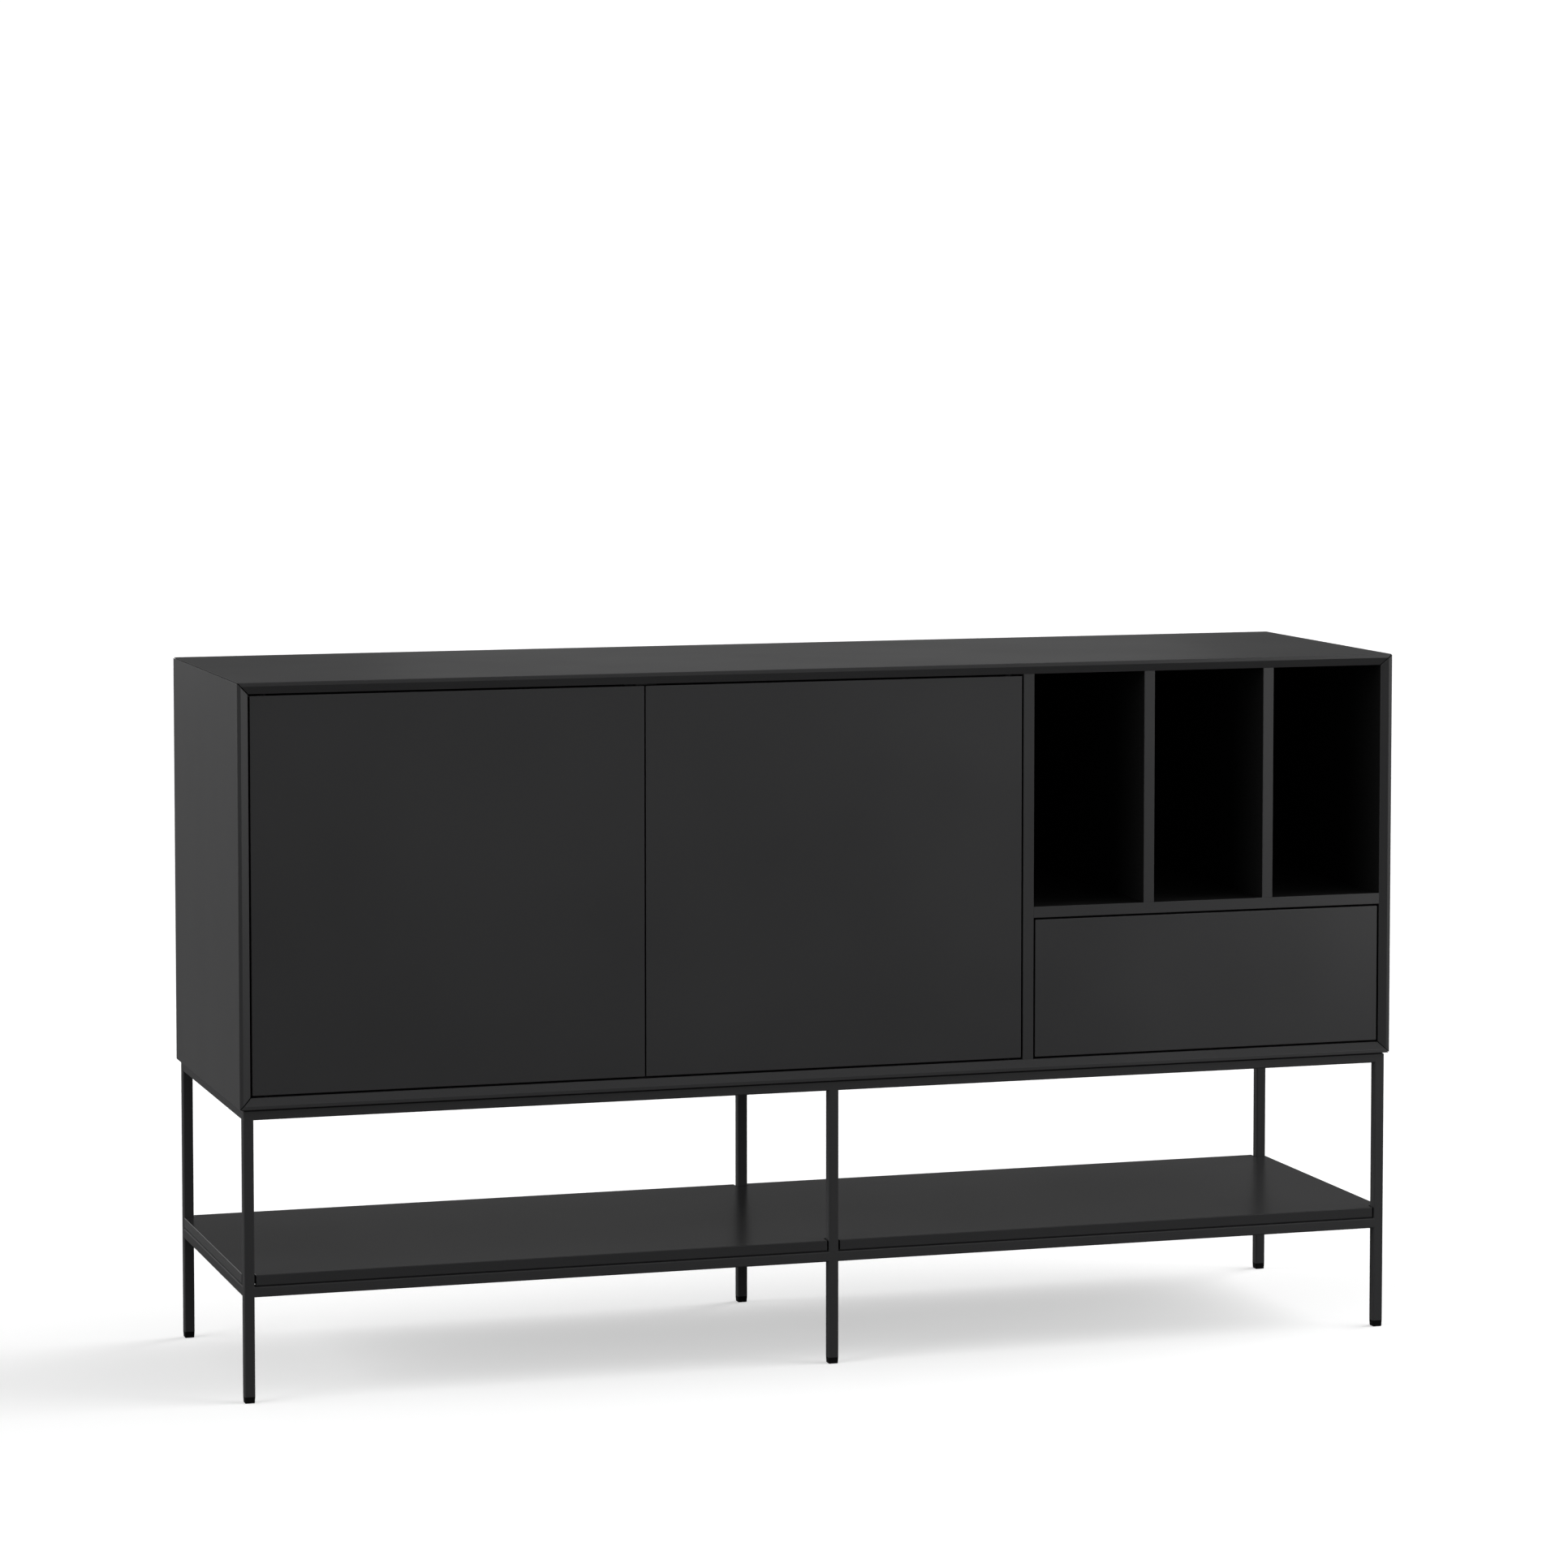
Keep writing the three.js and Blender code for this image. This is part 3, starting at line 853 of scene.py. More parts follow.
@dataclass
class Carcass:
    """The mitred case with its back, its uprights and its fixed shelf."""

    band: float = 5 * MM  # flat front edge outside the bevel
    arris: float = 1.0 * MM
    soft_edge: float = 0.6 * MM
    mitre_ease: float = 0.5 * MM
    mitre_groove: float = 0.5 * MM  # each end is cut back this far, so that the mitre shows
    butt_ease: float = 0.15 * MM
    rebate_ease: float = 0.3 * MM
    back_corner: float = 0.5 * MM
    back_edge: float = 0.3 * MM
    screw: Screw = Screw(2.9 * MM, 1.7 * MM, Drive.CROSS)
    screw_spacing: float = 150 * MM
    screw_margin: float = 4.2 * MM

    def panel(self, node: str, axis: int, sign: int, lay: Lay) -> Skin:
        """One mitred panel of the case.

        Its profile runs from the front band down the bevel, along the inside face, round the
        rebate for the back and home along the outside face, which lies at v = 0.

        Args:
            node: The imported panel.
            axis: The world axis that its outside face looks along.
            sign: Which way along that axis.
            lay: The axes of its profile and its length.

        Returns:
            The panel's surface.
        """
        low, high = limits(node)
        _, _, w = lay.value
        front, back = low[1], high[1]
        board = high[axis] - low[axis]
        face = limits("left_door")[0][1]
        inner_back = limits("back_panel")[0][1]
        rebate = back - inner_back
        profile = [
            [front, -self.band], [face, -board], [inner_back, -board],
            [inner_back, rebate - board], [back, rebate - board], [back, 0], [front, 0],
        ]
        radii = [self.arris, self.soft_edge, *[self.rebate_ease] * 3, self.soft_edge, self.arris]
        ends = Section.solid(low[w] + self.mitre_groove, high[w] - self.mitre_groove, self.mitre_ease)
        skin = carried(profile, radii, ends, lay, lean=1.0)
        outside = high[axis] if sign > 0 else low[axis]
        points = skin.points.copy()
        points[:, axis] += outside
        shifted = Skin(points, skin.blocks, skin.normals)
        return shifted if sign > 0 else shifted.mirrored(axis, outside)

    def build_case(self) -> None:
        """The four mitred panels."""
        for node, axis, sign, lay in (
            ("top_panel", 2, 1, Lay.ALONG_X),
            ("bottom_panel", 2, -1, Lay.ALONG_X),
            ("left_side_panel", 0, -1, Lay.ALONG_Z_FROM_SIDE),
            ("right_side_panel", 0, 1, Lay.ALONG_Z_FROM_SIDE),
        ):
            piece = stand_in(node, self.panel(node, axis, sign, lay), LACQUER)
            # The side's faces inside the open compartments get the painted shade.
            if node == "right_side_panel":
                paint_compartment_shade(piece)

    def build_inside(self) -> None:
        """Uprights carried up along Z and the fixed shelf along X, so that only long edges are soft."""
        uprights = ("main_divider", "centre_partition", "compartment_divider_1", "compartment_divider_2")
        for node in (*uprights, "drawer_shelf"):
            lay = Lay.ALONG_Z if node in uprights else Lay.ALONG_X
            piece = stand_in(node, slab(node, lay, self.soft_edge, self.butt_ease), LACQUER)
            # Faces inside the open compartments get the painted shade; the centre partition's don't.
            if node != "centre_partition":
                paint_compartment_shade(piece)

    def build_back(self) -> None:
        """The back in its rebate, and the screws that hold it round its edge and to the uprights."""
        stand_in("back_panel", slab("back_panel", Lay.ALONG_Y, self.back_corner, self.back_edge), BACK_FOIL)
        low, high = limits("back_panel")
        left, right = low[0] + self.screw_margin, high[0] - self.screw_margin
        bottom, top = low[2] + self.screw_margin, high[2] - self.screw_margin
        across = np.linspace(left, right, math.ceil((right - left) / self.screw_spacing) + 1)
        up = np.linspace(bottom, top, math.ceil((top - bottom) / self.screw_spacing) + 1)
        uprights = [sum(limits(node))[0] / 2 for node in ("main_divider", "centre_partition")]
        rows = [np.stack(np.meshgrid(across, [bottom, top]), -1).reshape(-1, 2)]
        rows += [np.stack(np.meshgrid([left, right, *uprights], up[1:-1]), -1).reshape(-1, 2)]
        flat = np.concatenate(rows)
        places = np.stack([flat[:, 0], 0 * flat[:, 0] + high[1], flat[:, 1]], -1)
        place_piece("back_panel_screws", set_down(self.screw.skin(), places, (0, 1, 0)), ZINC, "carcass")

    def build(self) -> None:
        """Builds and dresses the whole case."""
        self.build_case()
        self.build_inside()
        self.build_back()


@dataclass
class Cupboards:
    """The two doors with their pivots and latches, and the loose shelves behind them."""

    corner: float = 1.2 * MM
    edge: float = 0.8 * MM
    shelf_corner: float = 0.8 * MM
    shelf_edge: float = 0.6 * MM
    wall_gap: float = 1 * MM  # between a loose shelf and the walls beside it
    pin_radius: float = 2.5 * MM
    pin_reach: float = 9 * MM
    pin_rim: float = 0.6 * MM
    pin_collar: float = 1.6 * MM  # thickness of the collar, which is half as wide again as the pin
    pin_chamfer: float = 0.2 * MM
    pin_sunk: float = 2 * MM
    pin_line: float = 37 * MM  # from a shelf's front and back edge to its pins
    sleeve_bore: float = 2.5 * MM
    sleeve_rim: float = 3.7 * MM
    sleeve_height: float = 0.4 * MM
    sleeve_slope: float = 0.4 * MM
    sleeve_floor: float = 0.05 * MM
    sleeve_foot: float = 0.1 * MM  # where the slope meets the wall, over what is sunk in it
    sleeve_sunk: float = 1 * MM
    hole_pitch: float = 32 * MM
    holes_each_way: int = 3
    bumper_radius: float = 3 * MM
    bumper_height: float = 1.4 * MM
    bumper_inset: float = 3.9 * MM  # from a door's free edge to a bumper's middle
    bumper_rise: float = 25 * MM
    bumper_sunk: float = 0.5 * MM
    bumper_reach: float = 0.42 * math.pi  # where a dome's profile stops, short of its middle
    strike_radius: float = 3.6 * MM
    strike_proud: float = 0.15 * MM
    strike_sunk: float = 1 * MM
    latch_corner: float = 1.5 * MM
    latch_ease: float = 0.8 * MM
    latch_bore: float = 3.3 * MM
    bore_play: float = 1 * MM  # behind the plunger, and the least thickness behind its bore
    collar_width: float = 1.4 * MM
    collar_taper: float = 0.2 * MM
    collar_height: float = 0.5 * MM

    def strike(self, side: str) -> Skin:
        """The steel disc on a door's back that meets its latch's plunger.

        Args:
            side: The door's side, left or right.

        Returns:
            The disc, turned from its rim and its eased edge.
        """
        radius, proud = self.strike_radius, self.strike_proud
        disc = turned([[radius, -self.strike_sunk], [radius, 0], [radius - proud, proud]], 40)
        plunger = sum(limits(f"{side}_door_latch_plunger")) / 2
        back = limits(f"{side}_door")[1][1]
        return set_down(disc, [[plunger[0], back, plunger[2]]], (0, 1, 0))

    def bumpers(self, side: str) -> Skin:
        """Two domes near a door's free edge, one low down and one halfway up.

        A dome is turned from a part of an ellipse, at r cos t and h sin t, over a sunk foot.

        Args:
            side: The door's side, left or right.

        Returns:
            Both bumpers.
        """
        low, high = limits(f"{side}_door")
        t = np.linspace(0, self.bumper_reach, 6)
        dome = np.stack([self.bumper_radius * np.cos(t), self.bumper_height * np.sin(t)], 1)
        bumper = turned(np.concatenate([[[self.bumper_radius, -self.bumper_sunk]], dome]), 20)
        x = high[0] - self.bumper_inset if side == "left" else low[0] + self.bumper_inset
        heights = (low[2] + self.bumper_rise, (low[2] + high[2]) / 2)
        return set_down(bumper, [[x, high[1], z] for z in heights], (0, 1, 0))

    def build_doors(self) -> None:
        """Both doors, each with a strike for its latch and two bumpers near its free edge."""
        for side in ("left", "right"):
            node, body = f"{side}_door", f"{side}_door_leaf"
            stand_in(node, slab(node, Lay.ALONG_Y, self.corner, self.edge), LACQUER, body)
            place_piece(f"{side}_door_strike", self.strike(side), ZINC, body)
            place_piece(f"{side}_door_bumpers", self.bumpers(side), RUBBER_AND_SEAM_SHADE, body)
            for end in ("lower", "upper"):
                refinish(f"{node}_{end}_pivot", BLACK_ZINC)

    def latch(self, name: str) -> Skin:
        """A latch body: a rounded case along Y, with a low collar round the bore of its plunger.

        Each ring lies at one distance from the case's front, from its far end to the bore's floor.
        The bore's points lie at the same angles as the outline's.

        Args:
            name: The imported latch.

        Returns:
            The latch's surface.
        """
        low, high = limits(name)
        half, length = (high[0] - low[0]) / 2, high[1] - low[1]
        floor = min(limits(f"{name}_plunger")[1][1] + self.bore_play, high[1] - self.bore_play)
        square = [[-half, -half], [half, -half], [half, half], [-half, half]]
        outline, outward = arcs(square, self.latch_corner, 7).loop()
        eased = outline - self.latch_ease * outward
        angle = np.arctan2(outline[:, 1], outline[:, 0])
        circle = np.stack([np.cos(angle), np.sin(angle)], -1)
        bore, foot = self.latch_bore, self.latch_bore + self.collar_width
        rings = [
            (eased, length), (outline, length - self.latch_ease), (outline, self.latch_ease), (eased, 0),
            (circle * foot, 0), (circle * (foot - self.collar_taper), -self.collar_height),
            (circle * bore, -self.collar_height), (circle * bore, floor - low[1]),
        ]
        grid = np.stack([np.stack([ring[:, 0], y + 0 * ring[:, 0], ring[:, 1]], -1) for ring, y in rings])
        middle = (low + high) / 2
        return capped(grid + np.array([middle[0], low[1], middle[2]]))

    def build_latches(self) -> None:
        """Latch bodies with rounded cases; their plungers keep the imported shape."""
        for name in ("left_door_latch", "right_door_latch", "drawer_latch"):
            stand_in(name, self.latch(name), LATCH_ACETAL)
            refinish(f"{name}_plunger", RUBBER_AND_SEAM_SHADE)

    def pin(self) -> Skin:
        """A shelf pin: its chamfered tip, its shank, and a collar that runs on into the wall.

        Returns:
            The pin, turned about its own +Z.
        """
        radius, reach, collar = self.pin_radius, self.pin_reach, self.pin_collar
        return turned([
            [0.8 * radius, reach], [radius, reach - self.pin_rim], [radius, collar],
            [1.5 * radius, collar - self.pin_chamfer], [1.5 * radius, -self.pin_sunk],
        ], 20)

    def sleeve(self) -> Skin:
        """A sleeve in a spare hole: its dark floor, then a low rim with sloped sides.

        Returns:
            The sleeve, turned about its own +Z.
        """
        bore, rim, height, floor = self.sleeve_bore, self.sleeve_rim, self.sleeve_height, self.sleeve_floor
        return turned([
            [0.4 * bore, floor], [0.96 * bore, floor], [bore, height], [rim - self.sleeve_slope, height],
            [rim, self.sleeve_foot], [rim, -self.sleeve_sunk],
        ], 24)

    def build_shelves(self) -> None:
        """Loose shelves, the pins under their corners and the column of spare sleeves at each pin."""
        steps = [step for step in range(-self.holes_each_way, self.holes_each_way + 1) if step]
        for side in ("left", "right"):
            node = f"{side}_adjustable_shelf"
            stand_in(node, slab(node, Lay.ALONG_X, self.shelf_corner, self.shelf_edge), LACQUER)
            low, high = limits(node)
            walls = ((low[0] - self.wall_gap, (1, 0, 0)), (high[0] + self.wall_gap, (-1, 0, 0)))
            lines = [low[1] + self.pin_line, high[1] - self.pin_line]
            under = low[2] - self.pin_radius
            pins, sleeves = [], []
            for wall, facing in walls:
                pins.append(set_down(self.pin(), [[wall, y, under] for y in lines], facing))
                spots = [[wall, y, under + step * self.hole_pitch] for y in lines for step in steps]
                sleeves.append(set_down(self.sleeve(), spots, facing))
            place_piece(f"{side}_shelf_pins", joined(pins), ZINC, "carcass")
            place_piece(f"{side}_shelf_sleeves", joined(sleeves), FOOT_NYLON, "carcass")

    def build(self) -> None:
        """Builds and dresses both cupboards."""
        self.build_doors()
        self.build_latches()
        self.build_shelves()


@dataclass
class Drawer:
    """The drawer's front and box, with its ball bearing slides."""

    corner: float = 1.2 * MM
    edge: float = 0.8 * MM
    box_edge: float = 0.5 * MM
    board_corner: float = 0.4 * MM
    board_end: float = 0.2 * MM
    groove_play: float = 0.2 * MM
    groove_ease: float = 0.15 * MM
    front_screw: Screw = Screw(4 * MM, 2 * MM, Drive.CROSS)
    front_screw_inset: float = 40 * MM
    front_screw_rise: float = 25 * MM
    sheet: float = 1.2 * MM
    bend: float = 1.6 * MM
    lip: float = 0.4 * MM
    cut_end: float = 0.15 * MM
    ball_radius: float = 1.55 * MM
    ball_pitch: float = 7.5 * MM
    pole: float = 0.12  # radians left flat at each pole of a ball
    cage_length: float = 160 * MM
    cage_inset: float = 8 * MM
    cage_half_width: float = 1.9 * MM
    cage_half_thickness: float = 0.35 * MM
    cage_ease: float = 0.2 * MM
    slide_screw: Screw = Screw(3.6 * MM, 1.0 * MM, Drive.CROSS)
    slide_screw_inset: float = 30 * MM
    slide_screws: int = 4

    def grooved_side(self, node: str) -> Skin:
        """A side of the box, carried along Y, with the groove that takes the bottom's edge.

        Args:
            node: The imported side.

        Returns:
            The side's surface.
        """
        low, high = limits(node)
        bottom_low, bottom_high = limits("drawer_bottom")
        inner, outer, reach = high[0], low[0], bottom_low[0]
        if node == "drawer_right_side":
            inner, outer, reach = low[0], high[0], bottom_high[0]
        floor, roof = bottom_low[2] - self.groove_play, bottom_high[2] + self.groove_play
        outline = [
            [outer, low[2]], [inner, low[2]], [inner, floor], [reach, floor], [reach, roof],
            [inner, roof], [inner, high[2]], [outer, high[2]],
        ]
        radii = [self.box_edge] * 2 + [self.groove_ease] * 4 + [self.box_edge] * 2
        return carried(outline, radii, Section.solid(low[1], high[1], self.board_end), Lay.ALONG_Y)

    def build_box(self) -> None:
        """Front, grooved sides, back and bottom, and the four screws that hold the front."""
        front = "drawer_front"
        stand_in(front, slab(front, Lay.ALONG_Y, self.corner, self.edge), LACQUER, "drawer")
        for node in ("drawer_left_side", "drawer_right_side"):
            stand_in(node, self.grooved_side(node), DRAWER_MELAMINE, "drawer")
        for node, lay in (("drawer_back", Lay.ALONG_X), ("drawer_bottom", Lay.ALONG_Y)):
            stand_in(node, slab(node, lay, self.board_corner, self.board_end), DRAWER_MELAMINE, "drawer")
        left, right = limits("drawer_left_side")[1], limits("drawer_right_side")[0]
        rear, bottom = limits(front)[1][1], limits("drawer_bottom")[1][2]
        columns = (left[0] + self.front_screw_inset, right[0] - self.front_screw_inset)
        heights = (bottom + self.front_screw_rise, left[2] - self.front_screw_rise)
        places = [[x, rear, z] for x in columns for z in heights]
        screws = set_down(self.front_screw.skin(), places, (0, 1, 0))
        place_piece("drawer_front_screws", screws, ZINC, "drawer")

    def channel(self, node: str, web_side: int) -> Skin:
        """One slide member: a channel of bent sheet with round bends.

        Args:
            node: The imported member.
            web_side: 0 where its web is on its low X side, 1 on its high side.

        Returns:
            The channel, carried along Y.
        """
        low, high = limits(node)
        web, tip = (low[0], high[0]) if web_side == 0 else (high[0], low[0])
        inside = web + math.copysign(self.sheet, tip - web)
        outline = [
            [web, low[2]], [tip, low[2]], [tip, low[2] + self.sheet], [inside, low[2] + self.sheet],
            [inside, high[2] - self.sheet], [tip, high[2] - self.sheet], [tip, high[2]], [web, high[2]],
        ]
        half = [self.bend, self.lip, self.lip, self.bend - self.sheet]
        return carried(outline, half + half[::-1], Section.solid(low[1], high[1], self.cut_end), Lay.ALONG_Y)

    def ball_row(self, outer: str, inner: str, start: float) -> Skin:
        """Balls between the flanges of two nested members, above and below, with their cage strips.

        A ball is the grid (r sin p cos a, r sin p sin a, r cos p), its poles left as tiny flats.

        Args:
            outer: The member outside the balls.
            inner: The member inside them.
            start: Where the row starts along Y.

        Returns:
            Balls and cage strips of one pair of members.
        """
        outer_low, outer_high = limits(outer)
        inner_low, inner_high = limits(inner)
        middle_x = (max(outer_low[0], inner_low[0]) + min(outer_high[0], inner_high[0])) / 2
        drop = (outer_high[2] - self.sheet + inner_high[2]) / 2
        lift = (outer_low[2] + self.sheet + inner_low[2]) / 2
        polar = np.linspace(self.pole, math.pi - self.pole, 7)
        ball = turned(np.stack([self.ball_radius * np.sin(polar), self.ball_radius * np.cos(polar)], 1), 8)
        ys = np.arange(start + self.ball_pitch / 2, start + self.cage_length, self.ball_pitch)
        places = [[middle_x, y, z] for z in (drop, lift) for y in ys]
        balls = set_down(ball, places, (0, 0, 1))
        strips = []
        for z in (drop, lift):
            half = np.array([self.cage_half_width, 0, self.cage_half_thickness])
            low = np.array([middle_x, start, z]) - half
            high = np.array([middle_x, start + self.cage_length, z]) + half
            section = Section.solid(low[1], high[1], self.cage_ease)
            strip = carried(rectangle(low, high, Lay.ALONG_Y), self.cage_ease, section, Lay.ALONG_Y)
            strips.append(Skin(strip.points, strip.blocks))
        return joined([balls, *strips])

    def build_slides(self) -> None:
        """Both slides: three channels each, two sets of balls, and the screws of the inner member."""
        bodies = {"outer": "carcass", "middle": "slide_middles", "inner": "drawer"}
        for side, near in (("left", 0), ("right", 1)):
            outer, middle, inner = (f"{side}_slide_{member}_member" for member in bodies)
            for node, body in zip((outer, middle, inner), bodies.values()):
                web_side = 1 - near if node == inner else near
                stand_in(node, self.channel(node, web_side), ZINC, body)
            low, high = limits(middle)
            rear = self.ball_row(outer, middle, high[1] - self.cage_length - self.cage_inset)
            fore = self.ball_row(middle, inner, low[1] + self.cage_inset)
            place_piece(f"{side}_slide_balls", joined([rear, fore]), ZINC, "slide_middles")
            low, high = limits(inner)
            face = high[0] - self.sheet if near == 0 else low[0] + self.sheet
            ends = (low[1] + self.slide_screw_inset, high[1] - self.slide_screw_inset)
            places = [[face, y, (low[2] + high[2]) / 2] for y in np.linspace(*ends, self.slide_screws)]
            heads = set_down(self.slide_screw.skin(), places, (-1 if near == 0 else 1, 0, 0))
            place_piece(f"{side}_slide_screws", heads, ZINC, "drawer")

    def build(self) -> None:
        """Builds and dresses the drawer and its slides."""
        self.build_box()
        self.build_slides()


ROWS = ("front", "back")
PLACES = ("left", "middle", "right")
RAILS = ("high_rail", "left_low_rail", "right_low_rail")
LONG_RAILS = tuple(f"{row}_{rail}" for row in ROWS for rail in RAILS)
CROSS_RAILS = tuple(f"{place}_{level}_cross_rail" for place in PLACES for level in ("high", "low"))


@dataclass
class Stand:
    """The welded tube frame with its low shelf and its plastic feet."""

    wall: float = 1.2 * MM
    tube_corner: float = 2.0 * MM
    crown: float = 1.9 * MM
    rim: float = 0.2 * MM
    shelf_edge: float = 0.8 * MM
    shelf_corner: float = 1.04 * MM
    notch_gap: float = 2 * MM
    tape: float = 1.5 * MM  # thickness of the felt tape under the case and under the shelf
    tape_setback: float = 4.0 * MM
    tape_edge: float = 0.2 * MM
    foot_taper: float = 0.6 * MM
    foot_sole: float = 1.0 * MM
    foot_core: float = 4 * MM  # how far inside the tube's outline the sole's flat starts
    foot_ease: float = 0.4 * MM
    foot_crease: float = 0.1 * MM
    plug_play: float = 0.3 * MM
    bead_radius: float = 1.7 * MM
    bead_pitch: float = 1.5 * MM
    bead_ripple: float = 0.14
    bolt_reach: float = 120 * MM  # from the middle of a cross rail to its bolts
    bolt: Screw = Screw(4.6 * MM, 0.9 * MM, Drive.HEX)

    def under_case(self, node: str) -> bool:
        """Whether a tube reaches up to the case, where the tape over it takes some of its height."""
        return limits(node)[1][2] > limits("bottom_panel")[0][2] - self.wall

    def tube(self, node: str, lay: Lay, into: tuple[float, float], crowned: bool = False) -> Skin:
        """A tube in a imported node's place, run a little way into what it is welded to.

        Args:
            node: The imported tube.
            lay: The axis that it runs along.
            into: How far it goes past its low and its high end.
            crowned: Whether its high end is plated over and rounded.

        Returns:
            The tube, open where it is welded or has a foot.
        """
        low, high = limits(node)
        if self.under_case(node):
            high[2] -= self.tape
        _, _, w = lay.value
        start, end = low[w] - into[0], high[w] + into[1]
        if crowned:
            section = Section.capped_pipe(start, end, self.wall, self.rim, self.crown)
        else:
            section = Section.pipe(start, end, self.wall, self.rim)
        return carried(rectangle(low, high, lay), self.tube_corner, section, lay)

    def build_tubes(self) -> None:
        """Legs and rails; each butt joint runs on as far as its neighbour's corner is round."""
        weld = self.tube_corner
        for row in ROWS:
            for place in PLACES:
                node, outer = f"{row}_{place}_leg", place != "middle"
                into = (0, 0 if outer else weld)
                stand_in(node, self.tube(node, Lay.ALONG_Z, into, crowned=outer), POWDER_COAT)
            for rail in RAILS:
                node = f"{row}_{rail}"
                stand_in(node, self.tube(node, Lay.ALONG_X, (weld, weld)), POWDER_COAT)
        for node in CROSS_RAILS:
            stand_in(node, self.tube(node, Lay.ALONG_Y, (weld, weld)), POWDER_COAT)

    def foot(self, row: str, place: str) -> Skin:
        """A foot: a rounded square that narrows to a rounded sole, over a plug that fills the bore.

        Args:
            row: The row of its leg, front or back.
            place: The place of its leg in the row.

        Returns:
            The foot, as its leg's outline carried up Z.
        """
        leg_low, leg_high = limits(f"{row}_{place}_leg")
        shoulder, top = leg_low[2], limits(f"{row}_{place}_foot")[1][2]
        plug, core = self.wall + self.plug_play, self.foot_core
        path = [
            [-core, 0], [-self.foot_taper, 0], [0, shoulder], [-plug, shoulder], [-plug, top], [-core, top],
        ]
        radii = [MM, self.foot_sole, self.foot_ease, self.foot_crease, self.foot_ease, MM]
        outline = rectangle(leg_low, leg_high, Lay.ALONG_Z)
        return carried(outline, self.tube_corner, Section.rounded(path, radii, slice(1, 5)), Lay.ALONG_Z)

    def build_feet(self) -> None:
        """One foot in each leg."""
        for row in ROWS:
            for place in PLACES:
                stand_in(f"{row}_{place}_foot", self.foot(row, place), FOOT_NYLON)

    def build_low_shelf(self) -> None:
        """The low shelf: one quarter of its notched outline, turned over to the other three."""
        low, high = limits("low_shelf")
        leg_low, leg_high = limits("front_middle_leg")
        middle = leg_high[0] + self.notch_gap
        corner = (leg_high[0] - leg_low[0]) + self.notch_gap
        front, side = low[1], high[0]
        quarter = np.array([
            [middle, front + corner], [middle, front], [side - corner, front],
            [side - corner, front + corner], [side, front + corner],
        ])
        right = np.concatenate([quarter, quarter[::-1] * (1, -1)])
        outline = np.concatenate([right, right[::-1] * (-1, 1)])
        section = Section.solid(low[2] + self.tape, high[2], self.shelf_edge)
        stand_in("low_shelf", carried(outline, self.shelf_corner, section, Lay.ALONG_Z), RUBBED_LACQUER)

    def bead(self, start: Array, end: Array) -> Skin:
        """A weld bead with ripples.

        The ring at s from 0 to 1 has the radius r (1 + ripple |sin(pi s L / pitch)|), narrowed at
        both ends by the fourth root of 1 - (2s - 1)^8, round the line from start to end.

        Args:
            start: Where the bead starts.
            end: Where it ends.

        Returns:
            The bead, half sunk in the corner that it runs along.
        """
        line = end - start
        length = float(np.linalg.norm(line))
        along = np.linspace(0, 1, 40)[:, None]
        ripple = 1 + self.bead_ripple * np.abs(np.sin(math.pi * along * length / self.bead_pitch))
        taper = np.maximum(1 - (2 * along - 1) ** 8, 0.002) ** 0.25
        angle = np.linspace(0, 2 * math.pi, 10, endpoint=False)[None]
        radius = self.bead_radius * ripple * taper
        sides = np.eye(3)[[axis for axis in range(3) if abs(line[axis]) < length / 2]]
        ring = (radius * np.cos(angle))[..., None] * sides[0] + (radius * np.sin(angle))[..., None] * sides[1]
        return capped(start + along[..., None] * line + ring)

    def build_welds(self) -> None:
        """Beads in the inside corners only; the joints that face outwards are ground flush."""
        beads = []
        for node in LONG_RAILS:
            low, high = limits(node)
            inside = high[1] if node.startswith("front") else low[1]
            foot, head = low[2] + self.tube_corner, high[2] - self.tube_corner
            for x in (low[0], high[0]):
                beads.append(self.bead(np.array([x, inside, foot]), np.array([x, inside, head])))
        place_piece("weld_beads", joined(beads), POWDER_COAT, "carcass")

    def build_tapes_and_seam_shade(self) -> None:
        """Felt tapes between the ring and the case, and between the low rails and the shelf, as painted seam
        shade.
        """
        tapes = []
        for node in LONG_RAILS + CROSS_RAILS:
            lay = Lay.ALONG_X if node in LONG_RAILS else Lay.ALONG_Y
            low, high = limits(node)
            across, _, w = lay.value
            low[across] += self.tape_setback
            high[across] -= self.tape_setback
            low[2] = high[2] - (self.tape if self.under_case(node) else 0)
            high[2] = low[2] + self.tape
            section = Section.solid(low[w], high[w], self.tape_edge)
            tapes.append(carried(rectangle(low, high, lay), self.tape_edge, section, lay))
        place_piece("felt_tapes_and_seam_shade", joined(tapes), RUBBER_AND_SEAM_SHADE, "carcass")

    def build_bolts(self) -> None:
        """Low head bolts up through the three high cross rails into the case."""
        places = []
        for place in PLACES:
            low, high = limits(f"{place}_high_cross_rail")
            x, y = (low[0] + high[0]) / 2, (low[1] + high[1]) / 2
            places += [[x, y + way * self.bolt_reach, low[2]] for way in (-1, 1)]
        bolts = set_down(self.bolt.skin(), places, (0, 0, -1))
        place_piece("frame_bolts", bolts, BLACK_ZINC, "carcass")

    def build(self) -> None:
        """Builds and dresses the stand."""
        self.build_tubes()
        self.build_feet()
        self.build_low_shelf()
        self.build_tapes_and_seam_shade()
        self.build_welds()
        self.build_bolts()


# ---------------------------------------------------------------- studio


@dataclass(frozen=True)
class SoftLamp:
    """One large distant soft light, given by where it comes from and how wide it looks."""

    name: str
    comes_from: tuple[float, float, float]
    spread: float  # degrees across
    strength: float

    def build(self) -> None:
        """Adds the light, turned so that it shines from its direction."""
        data = bpy.data.lights.new(self.name, "SUN")
        data.angle = math.radians(self.spread)
        data.energy = self.strength
        lamp = bpy.data.objects.new(self.name, data)
        lamp.rotation_euler = Vector(self.comes_from).to_track_quat("Z", "Y").to_euler()
        bpy.context.scene.collection.objects.link(lamp)


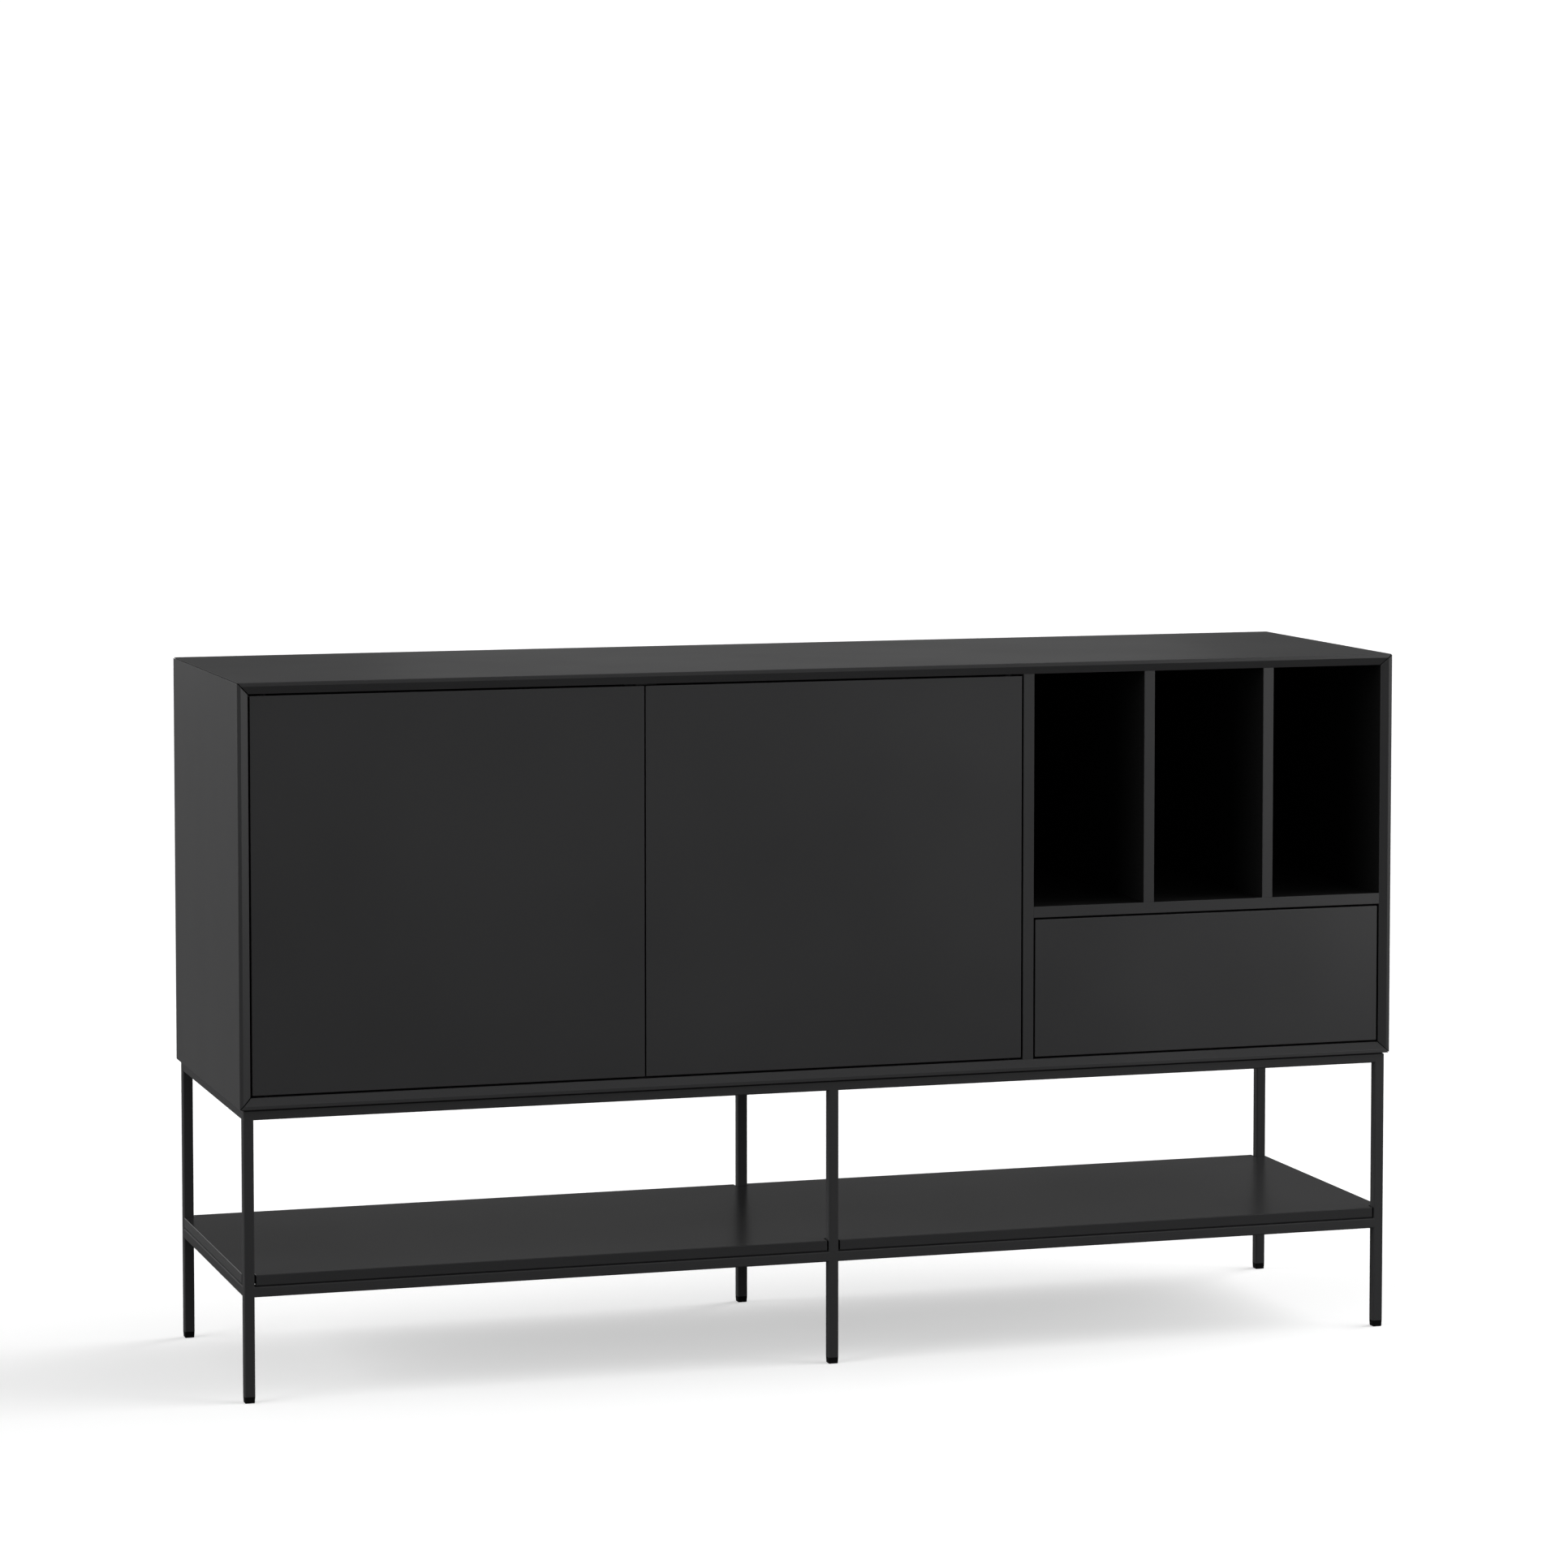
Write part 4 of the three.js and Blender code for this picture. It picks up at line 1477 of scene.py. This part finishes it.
@dataclass(frozen=True)
class SoftBox:
    """One soft light of a real size near the piece, so that it falls off across it."""

    name: str
    size: float
    place: tuple[float, float, float]
    aim: tuple[float, float, float]
    power: float

    def build(self) -> None:
        """Hangs the light and turns it to its aim; the camera doesn't see it."""
        data = bpy.data.lights.new(self.name, "AREA")
        data.size = self.size
        data.energy = self.power
        lamp = bpy.data.objects.new(self.name, data)
        lamp.location = self.place
        lamp.rotation_euler = (Vector(self.aim) - Vector(self.place)).to_track_quat("-Z", "Y").to_euler()
        lamp.visible_camera = False
        bpy.context.scene.collection.objects.link(lamp)


@dataclass
class Studio:
    """Pale floor, soft light and the camera."""

    floor_size: float = 80.0
    floor_colour: str = "#f4f4f4"
    floor_glow: float = 0.475
    bounce_colour: str = "#7c7c7c"
    backdrop: float = 1.05
    surround: float = 0.13
    lens: float = 115.63
    sensor: float = 36.0
    shift: float = -0.12
    camera_place: tuple[float, float, float] = (-2.0430, -6.5171, 1.4656)
    camera_yaw: float = -0.3035
    camera_dip: float = 0.0664
    lamps: tuple[SoftLamp, ...] = (
        SoftLamp("left_light", (-1.0, -0.1, 0.2), 60.0, 2.5),
        SoftLamp("high_right_light", (0.8, 0.0, 0.6), 60.0, 1.94),
        SoftLamp("front_light", (0.2, -1.0, 0.2), 60.0, 0.46),
        SoftLamp("rim_light", (-0.45, 1.0, 0.12), 40.0, 0.38),
    )
    boxes: tuple[SoftBox, ...] = (
        SoftBox("near_soft_box", 1.4, (2.6, -2.6, 0.9), (0.7, -0.2, 0.7), 16.2),
        SoftBox("far_soft_box", 1.6, (0.9, 2.6, 2.0), (0.6, 0.0, 0.9), 0.8),
    )

    def build_floor(self) -> None:
        """A wide pale floor; it looks brighter than what it throws back onto the sideboard."""
        half = self.floor_size / 2
        corners = [(-half, -half, 0), (half, -half, 0), (half, half, 0), (-half, half, 0)]
        mesh = bpy.data.meshes.new("studio_floor")
        mesh.from_pydata(corners, [], [(0, 1, 2, 3)])
        material = blank_material("pale_studio_floor")
        tree = material.node_tree
        pale = add_node(
            tree,
            "ShaderNodeBsdfPrincipled",
            {
                "Base Color": linear(self.floor_colour), "Roughness": 1.0, "Specular IOR Level": 0.0,
                "Emission Color": (1, 1, 1, 1), "Emission Strength": self.floor_glow,
            },
        )
        bounce = add_node(tree, "ShaderNodeBsdfDiffuse", {"Color": linear(self.bounce_colour)})
        self.split_by_ray(tree, bounce, pale, "ShaderNodeOutputMaterial")
        mesh.materials.append(material)
        floor = bpy.data.objects.new("studio_floor", mesh)
        bpy.context.scene.collection.objects.link(floor)

    def split_by_ray(
        self, tree: bpy.types.NodeTree, lit: bpy.types.Node, seen: bpy.types.Node, output: str
    ) -> None:
        """Ends a studio shader so that it lights the sideboard one way and is seen another way.

        Args:
            tree: The shader's node tree.
            lit: The shader that lights the sideboard.
            seen: The shader that is seen behind and under it.
            output: The type name of the output node.
        """
        path = add_node(tree, "ShaderNodeLightPath")
        mixed = add_node(tree, "ShaderNodeMixShader", None, {"Fac": path.outputs["Is Camera Ray"]})
        tree.links.new(lit.outputs[0], mixed.inputs[1])
        tree.links.new(seen.outputs[0], mixed.inputs[2])
        add_node(tree, output, None, {"Surface": mixed.outputs["Shader"]})

    def build_world(self) -> None:
        """A white backdrop, and a dimmer even surround for what lights the piece."""
        world = bpy.data.worlds.new("studio_surround")
        world.use_nodes = True
        tree = world.node_tree
        tree.nodes.clear()
        seen = add_node(tree, "ShaderNodeBackground", {"Color": (1, 1, 1, 1), "Strength": self.backdrop})
        lit = add_node(tree, "ShaderNodeBackground", {"Color": (1, 1, 1, 1), "Strength": self.surround})
        self.split_by_ray(tree, lit, seen, "ShaderNodeOutputWorld")
        bpy.context.scene.world = world

    def build_camera(self) -> None:
        """The camera, a little left of the middle and just above the top, looking slightly down."""
        data = bpy.data.cameras.new("camera")
        data.lens, data.sensor_width, data.shift_y = self.lens, self.sensor, self.shift
        camera = bpy.data.objects.new("camera", data)
        camera.location = self.camera_place
        camera.rotation_euler = Euler((math.pi / 2 - self.camera_dip, 0, self.camera_yaw))
        bpy.context.scene.collection.objects.link(camera)
        bpy.context.scene.camera = camera

    def build(self) -> None:
        """Builds the studio round the sideboard."""
        self.build_floor()
        self.build_world()
        self.build_camera()
        for lamp in (*self.lamps, *self.boxes):
            lamp.build()
        bpy.context.scene.view_settings.view_transform = "Standard"


def main() -> None:
    """Builds the sideboard's pieces in order, then the studio."""
    logging.basicConfig(level=logging.INFO, format="%(name)s %(message)s")
    Carcass().build()
    Cupboards().build()
    Drawer().build()
    Stand().build()
    Studio().build()


if __name__ == "__main__":
    main()
